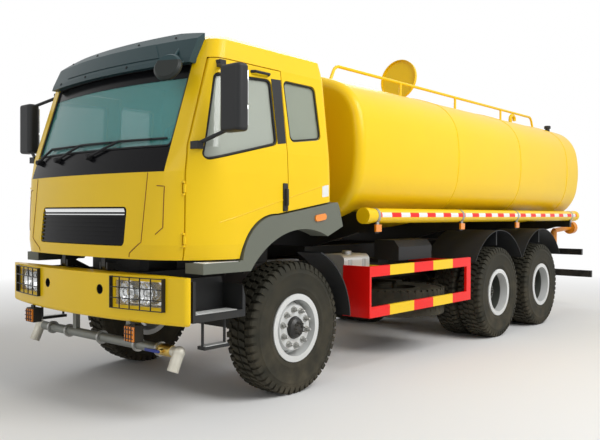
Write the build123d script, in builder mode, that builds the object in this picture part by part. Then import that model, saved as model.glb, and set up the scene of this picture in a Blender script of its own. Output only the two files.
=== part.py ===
from build123d import *
import os
from math import cos, radians, sin, sqrt

os.makedirs("parts", exist_ok=True)

# Frame: +X is the truck's left side, the front faces -Y and Z starts at the road.

# Overall length and axles
overall_length = 8810.0
front_overhang = 1440.0
wheelbase = 3780.0
tandem = 1350.0
body_half_width = 1245.0
cut_reach = body_half_width + 50.0
cut_front = -1600.0
front_axle_y = -overall_length / 2 + front_overhang
mid_axle_y = front_axle_y + wheelbase
rear_axle_y = mid_axle_y + tandem
tail_y = overall_length / 2

# Wheels
tyre_radius = 562.5
tyre_width = 310.0
tyre_crown_width = 262.0
bead_radius = 253.0
bead_width = 262.0
rim_flange_radius = 290.0
rim_wall = 12.0
front_tyre_x = 1020.0
inner_tyre_x = 755.0
outer_tyre_x = 1095.0
bolt_face_radius = 190.0
vent_count = 10
vent_radius = 20.0
vent_set = 27.0
vent_cut = 260.0
running_gap = 0.5
axle_z = tyre_radius

# Ladder frame
rail_outer_x = 430.0
rail_height = 280.0
rail_flange = 80.0
rail_plate = 10.0
rail_bottom_z = 780.0
rail_top_z = rail_bottom_z + rail_height
rail_front_reach = 1180.0
rail_tail_gap = 400.0
rail_inner_web_x = rail_outer_x - rail_plate

# Front axle and steering
kingpin_x = 870.0
kingpin_radius = 25.0
kingpin_eye_radius = 52.0
kingpin_eye_height = 130.0
spindle_radius = 45.0
spring_x = 390.0
spring_width = 76.0

# Cab
wall = 60.0
door_gap = 8.0
gutter_z = 2720.0
belt_z = 1845.0
windscreen_base_z = 2030.0
windscreen_half_width = 955.0
cab_rear = 400.0
cab_floor_z = 1190.0
glass_set = 18.0
glass_thickness = 8.0
visor_reach = 55.0
visor_half_width = 985.0
visor_rear_low = -890.0
visor_rear_high = -885.0
visor_low_z = gutter_z - 40.0
visor_high_z = 2970.0
# Round mirror ahead of the windscreen's left top corner (x, y from axle, z)
spot_mirror = (930.0, -1200.0, 2620.0)
spot_mirror_radius = 112.0
spot_mirror_rim = 18.0
spot_mirror_facing = (0.35, -0.85, 0.4)
spot_arm_radius = 9.0
spot_arm_feet = ((820.0, -1000.0, 2815.0), (925.0, -930.0, 2735.0))
# Columns: height, half width, nose ahead of the front axle, bow of the front face, corner radius
cab_sections = (
    (cab_floor_z, body_half_width - 13.0, -1385.0, 150.0, 530.0),
    (1300.0, body_half_width, -1400.0, 150.0, 550.0),
    (belt_z, body_half_width, -1345.0, 150.0, 400.0),
    (windscreen_base_z, body_half_width - 9.0, -1285.0, 150.0, 250.0),
    (gutter_z, body_half_width - 90.0, -1075.0, 150.0, 120.0),
    (2880.0, body_half_width - 140.0, -1000.0, 140.0, 120.0),
    (2950.0, body_half_width - 285.0, -840.0, 120.0, 150.0),
)
cab_corner_rear = 90.0
# Underside of the cab, from the footwell over the front wheel to the back wall (y from axle, z)
footwell_end = -750.0
arch_shoulder = (-640.0, 1415.0)
arch_crown = (-335.0, 1536.0)
deck_rear_z = 1650.0
floor_plate = 60.0
# Door seams, from the front axle
door_front = -1180.0
door_front_screen = -1160.0
door_front_top = -945.0
door_rear = -205.0
# Door hinge barrels at the front seam
hinge_x = 1100.0
hinge_radius = 12.0
hinge_pin_radius = 5.0
hinge_lug_height = 14.0
hinge_lug_reach = 25.0
hinge_lug_depth = 16.0
hinge_lug_lip = 4.0
hinge_length = 60.0
hinge_heights = (1340.0, 1720.0)
# Room in the floor for the doors' inner edges as they swing
door_swing_radius = 104.0
# Cab tilt pivot
tilt_pivot_y = -1300.0
tilt_pivot_z = 1120.0
tilt_eye_radius = 32.0
tilt_arm_x = 290.0
tilt_arm_width = 50.0
tilt_pin_radius = 18.0

# Water tank
tank_front = 810.0
tank_length = 6020.0
tank_half_width = 1240.0
tank_half_height = 812.0
tank_corner_radius = 492.0
tank_side_radius = 3306.0
tank_top_radius = 2942.0
tank_bottom_z = 1372.0
tank_front_round = 90.0
tank_rear_bulge = 270.0
tank_mid_z = tank_bottom_z + tank_half_height
tank_top_z = tank_mid_z + tank_half_height
manhole_y = 3050.0
manhole_radius = 230.0
manhole_wall = 20.0
manhole_rise = 30.0
manhole_depth = 480.0
lid_radius = 268.0
lid_plate = 14.0
lid_open_angle = 98.0
lid_hinge_back = 288.0
# Pipe lockers beside the tank
locker_x = body_half_width - 63.0
locker_z = 1520.0
locker_radius = 72.0
locker_front = 950.0
locker_length = 5600.0
saddle_places = (1110.0, 2810.0, 4320.0, 6300.0)
saddle_plate = 70.0


def aft(distance):
    """Y of a place given by its distance behind the front axle."""
    return front_axle_y + distance


def at_y(place):
    """Plane across the truck at a Y place, with X to the left and Z up."""
    return Plane.XZ.offset(-place)


def block(x0, x1, y0, y1, z0, z1, mode=Mode.ADD):
    """Box between two corners."""
    with Locations(((x0 + x1) / 2, (y0 + y1) / 2, (z0 + z1) / 2)):
        Box(abs(x1 - x0), abs(y1 - y0), abs(z1 - z0), mode=mode)


def rod(start, end, radius, mode=Mode.ADD):
    """Round bar between two points."""
    first = Vector(*start)
    run = Vector(*end) - first
    with Locations(Plane(origin=first + run * 0.5, z_dir=run)):
        Cylinder(radius, run.length, mode=mode)


# Cab forms

def cab_form(inset):
    """Body of the cab up to the roof crown, moved in by an inset."""
    with BuildPart() as form:
        for index, (z, half_width, nose, bow, corner) in enumerate(cab_sections):
            height = z - inset if index == len(cab_sections) - 1 else z
            half = half_width - inset
            front = aft(nose) + inset
            back = aft(cab_rear) - inset
            with BuildSketch(Plane.XY.offset(height)) as section:
                with BuildLine():
                    ThreePointArc((-half, front + bow), (0, front), (half, front + bow))
                    Polyline((half, front + bow), (half, back), (-half, back), (-half, front + bow))
                make_face()
                fillet(section.vertices().group_by(Axis.Y)[0], corner - min(inset, corner / 2))
                fillet(section.vertices().group_by(Axis.Y)[-1], cab_corner_rear - min(inset, 60.0))
        loft(ruled=True)
    return form.part


def underside(lift):
    """Sketch of what lies under the cab's floor line, in the YZ plane, raised by a lift."""
    with BuildSketch(Plane.YZ) as under:
        with BuildLine():
            start = (aft(footwell_end), cab_floor_z + lift)
            crown = (aft(arch_crown[0]), arch_crown[1] + lift)
            Line((aft(cut_front), cab_floor_z + lift), start)
            ThreePointArc(start, (aft(arch_shoulder[0]), arch_shoulder[1] + lift), crown)
            Polyline(crown, (aft(cab_rear), deck_rear_z + lift), (aft(cab_rear + 200), deck_rear_z + lift),
                     (aft(cab_rear + 200), 900), (aft(cut_front), 900), (aft(cut_front), cab_floor_z + lift))
        make_face()
    return under.sketch


def deck_z(place):
    """Height of the cab's rear floor, above its plate, at a distance behind the front axle."""
    slope = (deck_rear_z - arch_crown[1]) / (cab_rear - arch_crown[0])
    return arch_crown[1] + floor_plate + slope * (place - arch_crown[0])


cab_outer = cab_form(0)
cab_inner = cab_form(wall)
cab_door_inner = cab_form(wall - door_gap)
pane_outer = cab_form(glass_set)
pane_inner = cab_form(glass_set + glass_thickness)
visor_outer = cab_form(-visor_reach)
grille_face = cab_form(4.0)
grille_panel = cab_form(14.0)
below_floor = underside(0)
above_plate = underside(floor_plate)

with BuildPart() as cab_wall:
    add(cab_outer)
    add(cab_inner, mode=Mode.SUBTRACT)
    split(bisect_by=Plane.XY.offset(gutter_z), keep=Keep.BOTTOM)
    extrude(below_floor, amount=cut_reach, both=True, mode=Mode.SUBTRACT)

with BuildPart() as cab_roof:
    add(cab_outer)
    add(cab_inner, mode=Mode.SUBTRACT)
    split(bisect_by=Plane.XY.offset(gutter_z), keep=Keep.TOP)

spot_centre = (spot_mirror[0], aft(spot_mirror[1]), spot_mirror[2])
with BuildPart() as visor:
    add(visor_outer)
    add(cab_outer, mode=Mode.SUBTRACT)
    with BuildSketch(Plane.YZ) as visor_side:
        Polygon((aft(cut_front), visor_low_z), (aft(visor_rear_low), visor_low_z), (aft(visor_rear_high), visor_high_z),
                (aft(cut_front), visor_high_z), align=None)
    extrude(amount=visor_half_width, both=True, mode=Mode.INTERSECT)
    with Locations(Plane(origin=spot_centre, z_dir=spot_mirror_facing)):
        Cylinder(spot_mirror_radius, spot_mirror_rim)
        with Locations((0, 0, spot_mirror_rim)):
            Cone(spot_mirror_radius, spot_mirror_radius - spot_mirror_rim, spot_mirror_rim)
    for foot_x, foot_y, foot_z in spot_arm_feet:
        rod((foot_x, aft(foot_y), foot_z), spot_centre, spot_arm_radius)
    add(cab_outer, mode=Mode.SUBTRACT)

with BuildPart() as cab_front:
    add(cab_wall.part)
    with BuildSketch(Plane.YZ) as front_zone:
        with Locations((aft((door_front + cut_front) / 2), (cab_floor_z + belt_z) / 2)):
            Rectangle(door_front - cut_front, belt_z - cab_floor_z)
    extrude(amount=cut_reach, both=True, mode=Mode.INTERSECT)
    grille_half_width = 609.0
    grille_bottom_z = 1286.0
    grille_top_z = 1585.0
    grille_round = 36.0
    grille_cut = 500.0
    with BuildSketch(at_y(aft(cut_front))) as grille_hole:
        with Locations((0, (grille_bottom_z + grille_top_z) / 2)):
            RectangleRounded(2 * grille_half_width, grille_top_z - grille_bottom_z, grille_round)
    extrude(amount=-grille_cut, mode=Mode.SUBTRACT)
    for z in hinge_heights:
        for side in (-1, 1):
            with Locations((side * hinge_x, aft(door_front), z)):
                Cylinder(hinge_radius + door_gap, hinge_length + 2 * door_gap, mode=Mode.SUBTRACT)
            for level in (-1, 1):
                lug_start = z + level * (hinge_length / 2 + door_gap)
                block(side * (hinge_x - hinge_lug_reach), side * (hinge_x + hinge_lug_lip),
                      aft(door_front) - hinge_lug_depth, aft(door_front), lug_start, lug_start + level * hinge_lug_height)
            with Locations((side * hinge_x, aft(door_front), z)):
                Cylinder(hinge_pin_radius, hinge_length + 2 * (door_gap + hinge_lug_height))

with BuildPart() as grille_bars:
    slat_count = 9
    slat_height = 14.0
    slat_pitch = (grille_top_z - grille_bottom_z - 2 * slat_height) / (slat_count - 1)
    for index in range(slat_count):
        low = grille_bottom_z + slat_height / 2 + index * slat_pitch
        block(-grille_half_width, grille_half_width, aft(cut_front), aft(cut_front + grille_cut), low, low + slat_height)
    add(grille_face, mode=Mode.INTERSECT)

with BuildPart() as grille:
    add(grille_panel)
    add(grille_bars.part)
    add(cab_inner, mode=Mode.SUBTRACT)
    with BuildSketch(at_y(aft(cut_front))) as grille_edge:
        with Locations((0, (grille_bottom_z + grille_top_z) / 2)):
            RectangleRounded(2 * grille_half_width - 2, grille_top_z - grille_bottom_z - 2, grille_round - 1)
    extrude(amount=-grille_cut, mode=Mode.INTERSECT)

with BuildPart() as cowl:
    add(cab_wall.part)
    with BuildSketch(at_y(aft(-1000))) as cowl_zone:
        with Locations((0, (belt_z + windscreen_base_z) / 2)):
            Rectangle(2 * windscreen_half_width, windscreen_base_z - belt_z)
    extrude(amount=600, mode=Mode.INTERSECT)

with BuildPart() as cab_pillars:
    add(cab_wall.part)
    with BuildSketch(Plane.YZ) as pillar_zone:
        Polygon((aft(cut_front), belt_z), (aft(door_front), belt_z),
                (aft(door_front_screen), windscreen_base_z), (aft(door_front_top), gutter_z),
                (aft(cut_front), gutter_z), align=None)
    extrude(amount=cut_reach, both=True, mode=Mode.INTERSECT)
    with BuildSketch(at_y(aft(-800))) as screen_zone:
        with Locations((0, (belt_z + gutter_z) / 2)):
            Rectangle(2 * windscreen_half_width, gutter_z - belt_z + 10)
    extrude(amount=800, mode=Mode.SUBTRACT)

with BuildPart() as cab_quarters:
    add(cab_wall.part)
    with BuildSketch(Plane.YZ) as quarter_zone:
        with Locations((aft((door_rear + cab_rear - wall) / 2), 2000)):
            Rectangle(cab_rear - wall - door_rear, 2000)
    extrude(amount=cut_reach, both=True, mode=Mode.INTERSECT)
    quarter_window = ((-160.0, 2125.0), (250.0, 2178.0), (225.0, 2645.0), (-190.0, 2645.0))
    window_round = 50.0
    with BuildSketch(Plane.YZ) as quarter_cut:
        Polygon(*[(aft(y), z) for y, z in quarter_window], align=None)
        fillet(quarter_cut.vertices(), window_round)
    extrude(amount=cut_reach, both=True, mode=Mode.SUBTRACT)

with BuildPart() as cab_back:
    add(cab_wall.part)
    block(-cut_reach, cut_reach, aft(cab_rear - wall), aft(cab_rear + 50), 1000, 3000,
          mode=Mode.INTERSECT)

with BuildPart() as cab_floor:
    extrude(above_plate, amount=cut_reach, both=True)
    extrude(below_floor, amount=cut_reach, both=True, mode=Mode.SUBTRACT)
    add(cab_inner, mode=Mode.INTERSECT)
    for side in (-1, 1):
        with Locations((side * hinge_x, aft(door_front), cab_floor_z + floor_plate / 2)):
            Cylinder(door_swing_radius, floor_plate + 20, mode=Mode.SUBTRACT)
        with BuildSketch(Plane.YZ.offset(side * tilt_arm_x)) as arm:
            with BuildLine():
                Polyline((aft(tilt_pivot_y - tilt_eye_radius), tilt_pivot_z),
                         (aft(tilt_pivot_y - tilt_eye_radius), cab_floor_z), (aft(tilt_pivot_y + 160), cab_floor_z),
                         (aft(tilt_pivot_y + tilt_eye_radius), tilt_pivot_z))
                ThreePointArc((aft(tilt_pivot_y + tilt_eye_radius), tilt_pivot_z),
                              (aft(tilt_pivot_y), tilt_pivot_z - tilt_eye_radius),
                              (aft(tilt_pivot_y - tilt_eye_radius), tilt_pivot_z))
            make_face()
            with Locations((aft(tilt_pivot_y), tilt_pivot_z)):
                Circle(tilt_pin_radius + running_gap, mode=Mode.SUBTRACT)
        extrude(amount=tilt_arm_width / 2, both=True)

with BuildPart() as cab_glass:
    add(pane_outer)
    add(pane_inner, mode=Mode.SUBTRACT)
    split(bisect_by=Plane.XY.offset(gutter_z), keep=Keep.BOTTOM)
    with BuildSketch(at_y(aft(-800))) as screen_pane:
        with Locations((0, (windscreen_base_z + gutter_z) / 2)):
            Rectangle(2 * windscreen_half_width, gutter_z - windscreen_base_z)
    screen_solid = extrude(amount=800, mode=Mode.PRIVATE)
    with BuildSketch(Plane.YZ) as quarter_pane:
        Polygon(*[(aft(y), z) for y, z in quarter_window], align=None)
        fillet(quarter_pane.vertices(), window_round)
    quarter_solid = extrude(amount=cut_reach, both=True, mode=Mode.PRIVATE)
    add(screen_solid + quarter_solid, mode=Mode.INTERSECT)

with BuildPart() as seats:
    seat_width = 500.0
    for x in (-570.0, 570.0):
        with BuildSketch(Plane.YZ.offset(x)) as seat_side:
            Polygon((aft(-320), deck_z(-320)), (aft(100), deck_z(100)), (aft(130), 1880), (aft(285), 2420),
                    (aft(300), 2620), (aft(220), 2640), (aft(170), 2440), (aft(40), 2010), (aft(-380), 2050),
                    (aft(-390), 1930), (aft(-330), 1890), align=None)
            fillet(seat_side.vertices().filter_by_position(Axis.Z, 1870, 2700), 28)
        extrude(amount=seat_width / 2, both=True)

with BuildPart() as dashboard:
    with BuildSketch(Plane.YZ) as dash_side:
        Polygon((aft(-1500), 1500), (aft(-1020), 1500), (aft(-900), 1720), (aft(-880), 1930), (aft(-960), 2030),
                (aft(-1500), 2030), align=None)
        fillet(dash_side.vertices().filter_by_position(Axis.Y, aft(-1100), aft(-800)), 40)
    extrude(amount=windscreen_half_width, both=True)
    add(cab_inner, mode=Mode.INTERSECT)
    hand_wheel_x = 570.0
    hand_wheel_radius = 225.0
    hand_wheel_tilt = 35.0
    hub_plane = Plane(origin=(hand_wheel_x, aft(-640), 2120),
                      z_dir=(0, sin(radians(hand_wheel_tilt)), cos(radians(hand_wheel_tilt))))
    with Locations(hub_plane):
        Torus(hand_wheel_radius, 16)
        Cylinder(62, 50)
        with PolarLocations(hand_wheel_radius / 2, 3, start_angle=90):
            Box(hand_wheel_radius, 34, 18)
    column_foot = hub_plane.origin - hub_plane.z_dir * 480
    rod(tuple(hub_plane.origin), tuple(column_foot), 34)

# Doors with their panes and mirrors

door_window = ((-1105.0, 1914.0), (-320.0, 2093.0), (-336.0, 2628.0), (-935.0, 2600.0))
with BuildPart() as door_left:
    add(cab_outer)
    add(cab_door_inner, mode=Mode.SUBTRACT)
    with BuildSketch(Plane.YZ.offset(windscreen_half_width + 20)) as door_side:
        Polygon((aft(door_front + door_gap), cab_floor_z), (aft(door_front + door_gap), belt_z),
                (aft(door_front_screen + door_gap), windscreen_base_z),
                (aft(door_front_top + door_gap), gutter_z - door_gap),
                (aft(door_rear - door_gap), gutter_z - door_gap), (aft(door_rear - door_gap), cab_floor_z),
                align=None)
    extrude(amount=cut_reach, mode=Mode.INTERSECT)
    extrude(below_floor, amount=cut_reach, both=True, mode=Mode.SUBTRACT)
    with BuildSketch(Plane.YZ) as door_cut:
        Polygon(*[(aft(y), z) for y, z in door_window], align=None)
        fillet(door_cut.vertices(), window_round)
    extrude(amount=cut_reach, mode=Mode.SUBTRACT)
    for z in hinge_heights:
        with Locations((hinge_x, aft(door_front), z)):
            Cylinder(hinge_radius, hinge_length)
            Cylinder(hinge_pin_radius + running_gap, hinge_length, mode=Mode.SUBTRACT)

with BuildPart() as door_glass_left:
    add(pane_outer)
    add(pane_inner, mode=Mode.SUBTRACT)
    with BuildSketch(Plane.YZ) as door_pane:
        Polygon(*[(aft(y), z) for y, z in door_window], align=None)
        fillet(door_pane.vertices(), window_round)
    extrude(amount=cut_reach, mode=Mode.INTERSECT)

with BuildPart() as mirror_left:
    housing_x = body_half_width + 205
    housing_y = -1020.0
    housing_low_z = 2120.0
    housing_high_z = 2600.0
    block(housing_x - 105, housing_x + 105, aft(housing_y - 60), aft(housing_y + 60), housing_low_z, housing_high_z)
    fillet(mirror_left.edges().filter_by(Axis.Z), 45)
    fillet(mirror_left.edges().group_by(Axis.Z)[-1], 25)
    fillet(mirror_left.edges().group_by(Axis.Z)[0], 25)
    # Columns: height on the housing, then the foot's x, y from axle and z
    mirror_feet = ((housing_low_z + 30, body_half_width - 110, -1120.0, 2035.0),
                   (housing_high_z - 30, body_half_width - 130, -880.0, 2668.0))
    for z_end, foot_x, foot_y, foot_z in mirror_feet:
        rod((foot_x, aft(foot_y), foot_z), (housing_x - 30, aft(housing_y), z_end), 15)
        block(foot_x - 10, foot_x + 70, aft(foot_y - 30), aft(foot_y + 30), foot_z - 28, foot_z + 28)
    add(cab_outer, mode=Mode.SUBTRACT)

with BuildPart() as door_right:
    mirror(door_left.part, about=Plane.YZ)
with BuildPart() as door_glass_right:
    mirror(door_glass_left.part, about=Plane.YZ)
with BuildPart() as mirror_right:
    mirror(mirror_left.part, about=Plane.YZ)

# Grey arch fairings with the upper entry step, and their turn lamps

fairing_inner_x = 1060.0
fairing_outer_x = body_half_width + 15
arch_radius = 845.0
arch_centre_y = -40.0
step_z = 1092.0
step_top_z = 1170.0
step_front = -1140.0
arch_front = (-655.0, step_z)
arch_rear = (300.0, 1341.0)
fairing_seat_x = body_half_width - wall - door_gap
below_door = Pos(0, 1.5 * door_gap, -1.5 * door_gap) * below_floor
with BuildPart() as arch_fairings:
    with BuildSketch(Plane.YZ.offset(fairing_inner_x)) as fairing_side:
        with BuildLine():
            Polyline((aft(arch_front[0]), arch_front[1]), (aft(step_front), step_z), (aft(step_front), step_top_z),
                     (aft(footwell_end - 20), step_top_z), (aft(footwell_end - 20), 1700), (aft(cab_rear), 1700),
                     (aft(cab_rear + 60), 1600), (aft(cab_rear + 114), 1425), (aft(arch_rear[0]), arch_rear[1]))
            ThreePointArc((aft(arch_rear[0]), arch_rear[1]), (aft(arch_centre_y), axle_z + arch_radius),
                          (aft(arch_front[0]), arch_front[1]))
        make_face()
    extrude(amount=fairing_outer_x - fairing_inner_x)
    extrude(below_floor, amount=fairing_outer_x, mode=Mode.INTERSECT)
    extrude(Pos(fairing_seat_x, 0, 0) * (below_floor - below_door), amount=200, mode=Mode.SUBTRACT)
    mirror(about=Plane.YZ)

with BuildPart() as turn_lamps:
    with BuildSketch(Plane.YZ.offset(fairing_outer_x)) as lamp_face:
        with Locations((aft(190), 1505)):
            SlotOverall(150, 56, rotation=8)
    extrude(amount=14)
    mirror(about=Plane.YZ)

# Bumper, lamps and the front spray bar

bumper_bottom_z = 725.0
bumper_top_z = 1075.0
bumper_wall = 50.0
bumper_bow = 160.0
bumper_corner = 40.0
bumper_end = -1245.0
bumper_back = bumper_end + bumper_bow
lamp_inner_x = 560.0
lamp_outer_x = 1032.0
guard_reach = 27.0
guard_bar = 7.0
guard_margin = 26.0
lamp_bottom_z = 848.0
lamp_top_z = 1045.0
tow_hole_x = 383.0
tow_hole_z = 950.0
tow_hole_radius = 39.0


def front_bow(x, half_width):
    """How far the bowed bumper lies behind its middle at an X place."""
    radius = (half_width**2 + bumper_bow**2) / (2 * bumper_bow)
    return radius - sqrt(radius**2 - x**2)


def bumper_plan(inset):
    """Plan outline of the bumper's front face, moved in by an inset, closed behind."""
    half = body_half_width - inset
    nose = aft(-front_overhang) + inset
    with BuildSketch() as plan:
        with BuildLine():
            ThreePointArc((-half, nose + bumper_bow), (0, nose), (half, nose + bumper_bow))
            Polyline((half, nose + bumper_bow), (half, aft(bumper_back)), (-half, aft(bumper_back)),
                     (-half, nose + bumper_bow))
        make_face()
        fillet(plan.vertices().group_by(Axis.Y)[0], max(bumper_corner - inset, 6.0))
    return plan.sketch


bumper_outer_plan = bumper_plan(0)
bumper_inner_plan = bumper_plan(bumper_wall)
lamp_outer_plan = bumper_plan(12)
lamp_inner_plan = bumper_plan(80)
guard_outer_plan = bumper_plan(-guard_reach)
guard_inner_plan = bumper_plan(-guard_reach + guard_bar)

with BuildPart() as bumper:
    extrude(Plane.XY.offset(bumper_bottom_z) * bumper_outer_plan, amount=bumper_top_z - bumper_bottom_z)
    fillet(bumper.faces().sort_by(Axis.Z)[0].edges().group_by(Axis.Y)[0], 30)
    extrude(Plane.XY.offset(bumper_bottom_z - 5) * bumper_inner_plan, amount=bumper_top_z - bumper_bottom_z - 35,
            mode=Mode.SUBTRACT)
    block(-body_half_width - 5, body_half_width + 5, aft(bumper_end), aft(bumper_back + 5), bumper_bottom_z - 5,
          bumper_top_z + 5, mode=Mode.SUBTRACT)
    for side in (-1, 1):
        block(side * lamp_inner_x, side * lamp_outer_x, aft(cut_front), aft(bumper_end), lamp_bottom_z,
              lamp_top_z - 10, mode=Mode.SUBTRACT)
        rod((side * tow_hole_x, aft(cut_front), tow_hole_z), (side * tow_hole_x, aft(-1350), tow_hole_z),
            tow_hole_radius, mode=Mode.SUBTRACT)
        block(side * (rail_outer_x - rail_flange), side * rail_outer_x, aft(-front_overhang + 30),
              aft(-rail_front_reach), 800, 880)

def plan_strip(outer, inner, x_start, x_end):
    """Part of the band between two bumper plans, from one X to another."""
    zone = Pos((x_start + x_end) / 2, aft(-1380), 0) * Rectangle(x_end - x_start, 400)
    return (outer - inner) & zone


fog_x = 735.0
fog_y = -1365.0
fog_half = 62.0
fog_z = 640.0
guard_low_row = lamp_bottom_z - guard_margin
guard_high_row = lamp_top_z + guard_margin - 2 * guard_bar
guard_rows = [guard_low_row + (guard_high_row - guard_low_row) * share for share in (0, 0.33, 0.67, 1)]
guard_inner_x = lamp_inner_x - guard_margin
guard_outer_x = lamp_outer_x + guard_margin
guard_posts = [guard_inner_x + (guard_outer_x - guard_inner_x) * share for share in (0, 0.2, 0.4, 0.6, 0.8, 1)]
lamp_plan = plan_strip(lamp_outer_plan, lamp_inner_plan, lamp_inner_x + 1, lamp_outer_x - 1)
hoop_plan = plan_strip(guard_outer_plan, guard_inner_plan, guard_inner_x, guard_outer_x)

with BuildPart() as headlamps:
    extrude(Plane.XY.offset(lamp_bottom_z) * lamp_plan, amount=lamp_top_z - lamp_bottom_z - 12)
    mirror(about=Plane.YZ)

with BuildPart() as lamp_guards:
    for z in guard_rows:
        extrude(Plane.XY.offset(z) * hoop_plan, amount=guard_bar)
    for x in guard_posts:
        depth = guard_reach + 30 if x in (guard_posts[0], guard_posts[-1]) else guard_bar
        hoop_y = aft(-front_overhang - guard_reach) + front_bow(x, body_half_width + guard_reach)
        block(x - guard_bar / 2, x + guard_bar / 2, hoop_y, hoop_y + depth, guard_rows[0], guard_rows[-1] + guard_bar)
    block(fog_x - fog_half, fog_x + fog_half, aft(fog_y - 30), aft(fog_y + 45), fog_z - fog_half, fog_z + fog_half)
    block(fog_x - 25, fog_x + 25, aft(fog_y - 8), aft(fog_y + 8), fog_z, bumper_bottom_z)
    add(bumper.part, mode=Mode.SUBTRACT)
    add(headlamps.part, mode=Mode.SUBTRACT)
    mirror(about=Plane.YZ)

with BuildPart() as spray_bar:
    bar_y = -1150.0
    bar_z = 500.0
    bar_radius = 38.0
    bar_half = 1000.0
    mouth_z = 365.0
    rod((-bar_half, aft(bar_y), bar_z), (bar_half, aft(bar_y), bar_z), bar_radius)
    for side in (-1, 1):
        with Locations((side * bar_half, aft(bar_y), bar_z)):
            Sphere(bar_radius + 10)
        rod((side * bar_half, aft(bar_y), bar_z), (side * bar_half, aft(bar_y - 60), mouth_z), bar_radius + 6)
        block(side * (rail_outer_x - 65), side * (rail_outer_x - 15), aft(bar_y - 20), aft(bar_y + 20), bar_z,
              rail_bottom_z)

# Ladder frame

with BuildPart() as frame_rails:
    with BuildSketch(at_y(aft(-rail_front_reach))) as channel:
        with Locations((rail_outer_x - rail_flange / 2, rail_bottom_z + rail_height / 2)):
            Rectangle(rail_flange, rail_height)
        with Locations((rail_outer_x - rail_flange / 2 - rail_plate, rail_bottom_z + rail_height / 2)):
            Rectangle(rail_flange, rail_height - 2 * rail_plate, mode=Mode.SUBTRACT)
    extrude(amount=-(tail_y - rail_tail_gap - aft(-rail_front_reach)))
    mirror(about=Plane.YZ)

rail_end_y = tail_y - rail_tail_gap
light_bar_z = 938.0
underrun_z = 567.0
with BuildPart() as crossmembers:
    member_depth = 90.0
    member_height = 150.0
    member_top_z = rail_top_z - rail_plate
    member_places = (aft(-rail_front_reach + 75), aft(1500), aft(2700), mid_axle_y + tandem / 2, aft(6000),
                     rail_end_y - member_depth / 2)
    for place in member_places:
        block(-rail_inner_web_x, rail_inner_web_x, place - member_depth / 2, place + member_depth / 2,
              member_top_z - member_height, member_top_z)
    for side in (-1, 1):
        rod((side * (tilt_arm_x - tilt_arm_width / 2 - 20), aft(tilt_pivot_y), tilt_pivot_z),
            (side * (tilt_arm_x + tilt_arm_width / 2 + 30), aft(tilt_pivot_y), tilt_pivot_z), tilt_pin_radius)
        for lug_x in (tilt_arm_x - tilt_arm_width / 2 - 20, tilt_arm_x + tilt_arm_width / 2 + 20):
            with BuildSketch(Plane.YZ.offset(side * lug_x)) as lug:
                Polygon((aft(tilt_pivot_y - 30), tilt_pivot_z - 26), (aft(tilt_pivot_y - 30), tilt_pivot_z + 28),
                        (aft(tilt_pivot_y + 40), tilt_pivot_z + 28), (member_places[0] + 40, member_top_z),
                        (member_places[0] + 40, member_top_z - member_height),
                        (member_places[0] - 40, member_top_z - member_height), (member_places[0] - 40, member_top_z),
                        (aft(tilt_pivot_y + 50), tilt_pivot_z - 26), align=None)
            extrude(amount=10, both=True)
    for side in (-1, 1):
        with BuildSketch(Plane.YZ.offset(side * (rail_outer_x + 12.5))) as stay:
            Polygon((rail_end_y - 320, 800), (rail_end_y - 320, 1030), (rail_end_y + 90, 1000),
                    (tail_y - 62, underrun_z + 56), (tail_y - 62, underrun_z - 54), (rail_end_y + 180, underrun_z),
                    (rail_end_y - 60, 800), align=None)
        extrude(amount=12.5, both=True)
    light_bar_half = body_half_width - 95
    underrun_half = body_half_width - 45
    block(-light_bar_half, light_bar_half, rail_end_y + 30, rail_end_y + 90, light_bar_z - 48, light_bar_z + 48)
    block(-underrun_half, underrun_half, tail_y - 62, tail_y, underrun_z - 54, underrun_z + 54)

with BuildPart() as tail_lamps:
    for side in (-1, 1):
        block(side * (light_bar_half - 330), side * (light_bar_half - 30), rail_end_y + 90, rail_end_y + 120, light_bar_z - 42, light_bar_z + 42)

shaft_radius = 52.0
with BuildPart() as driveline:
    block(-300, 300, aft(-600), aft(540), 640, 1330)
    block(-190, 190, aft(540), aft(1320), 690, 1040)
    for side in (-1, 1):
        for place in (-330.0, 330.0):
            block(side * 300, side * rail_inner_web_x, aft(place - 60), aft(place + 60), 860, 940)
    block(-340, 340, aft(-1020), aft(-930), 800, 1150)
    block(-300, 300, aft(-930), aft(-600), 830, 960)
    rod((0.0, aft(1300), 830.0), (0.0, mid_axle_y - 260, axle_z + 40), shaft_radius)
    block(-100, 100, mid_axle_y - 300 - running_gap, mid_axle_y, 400, 900, mode=Mode.SUBTRACT)
    rod((0, mid_axle_y + 300.3, axle_z + 20), (0, rear_axle_y - 300.3, axle_z + 20), shaft_radius)


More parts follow.
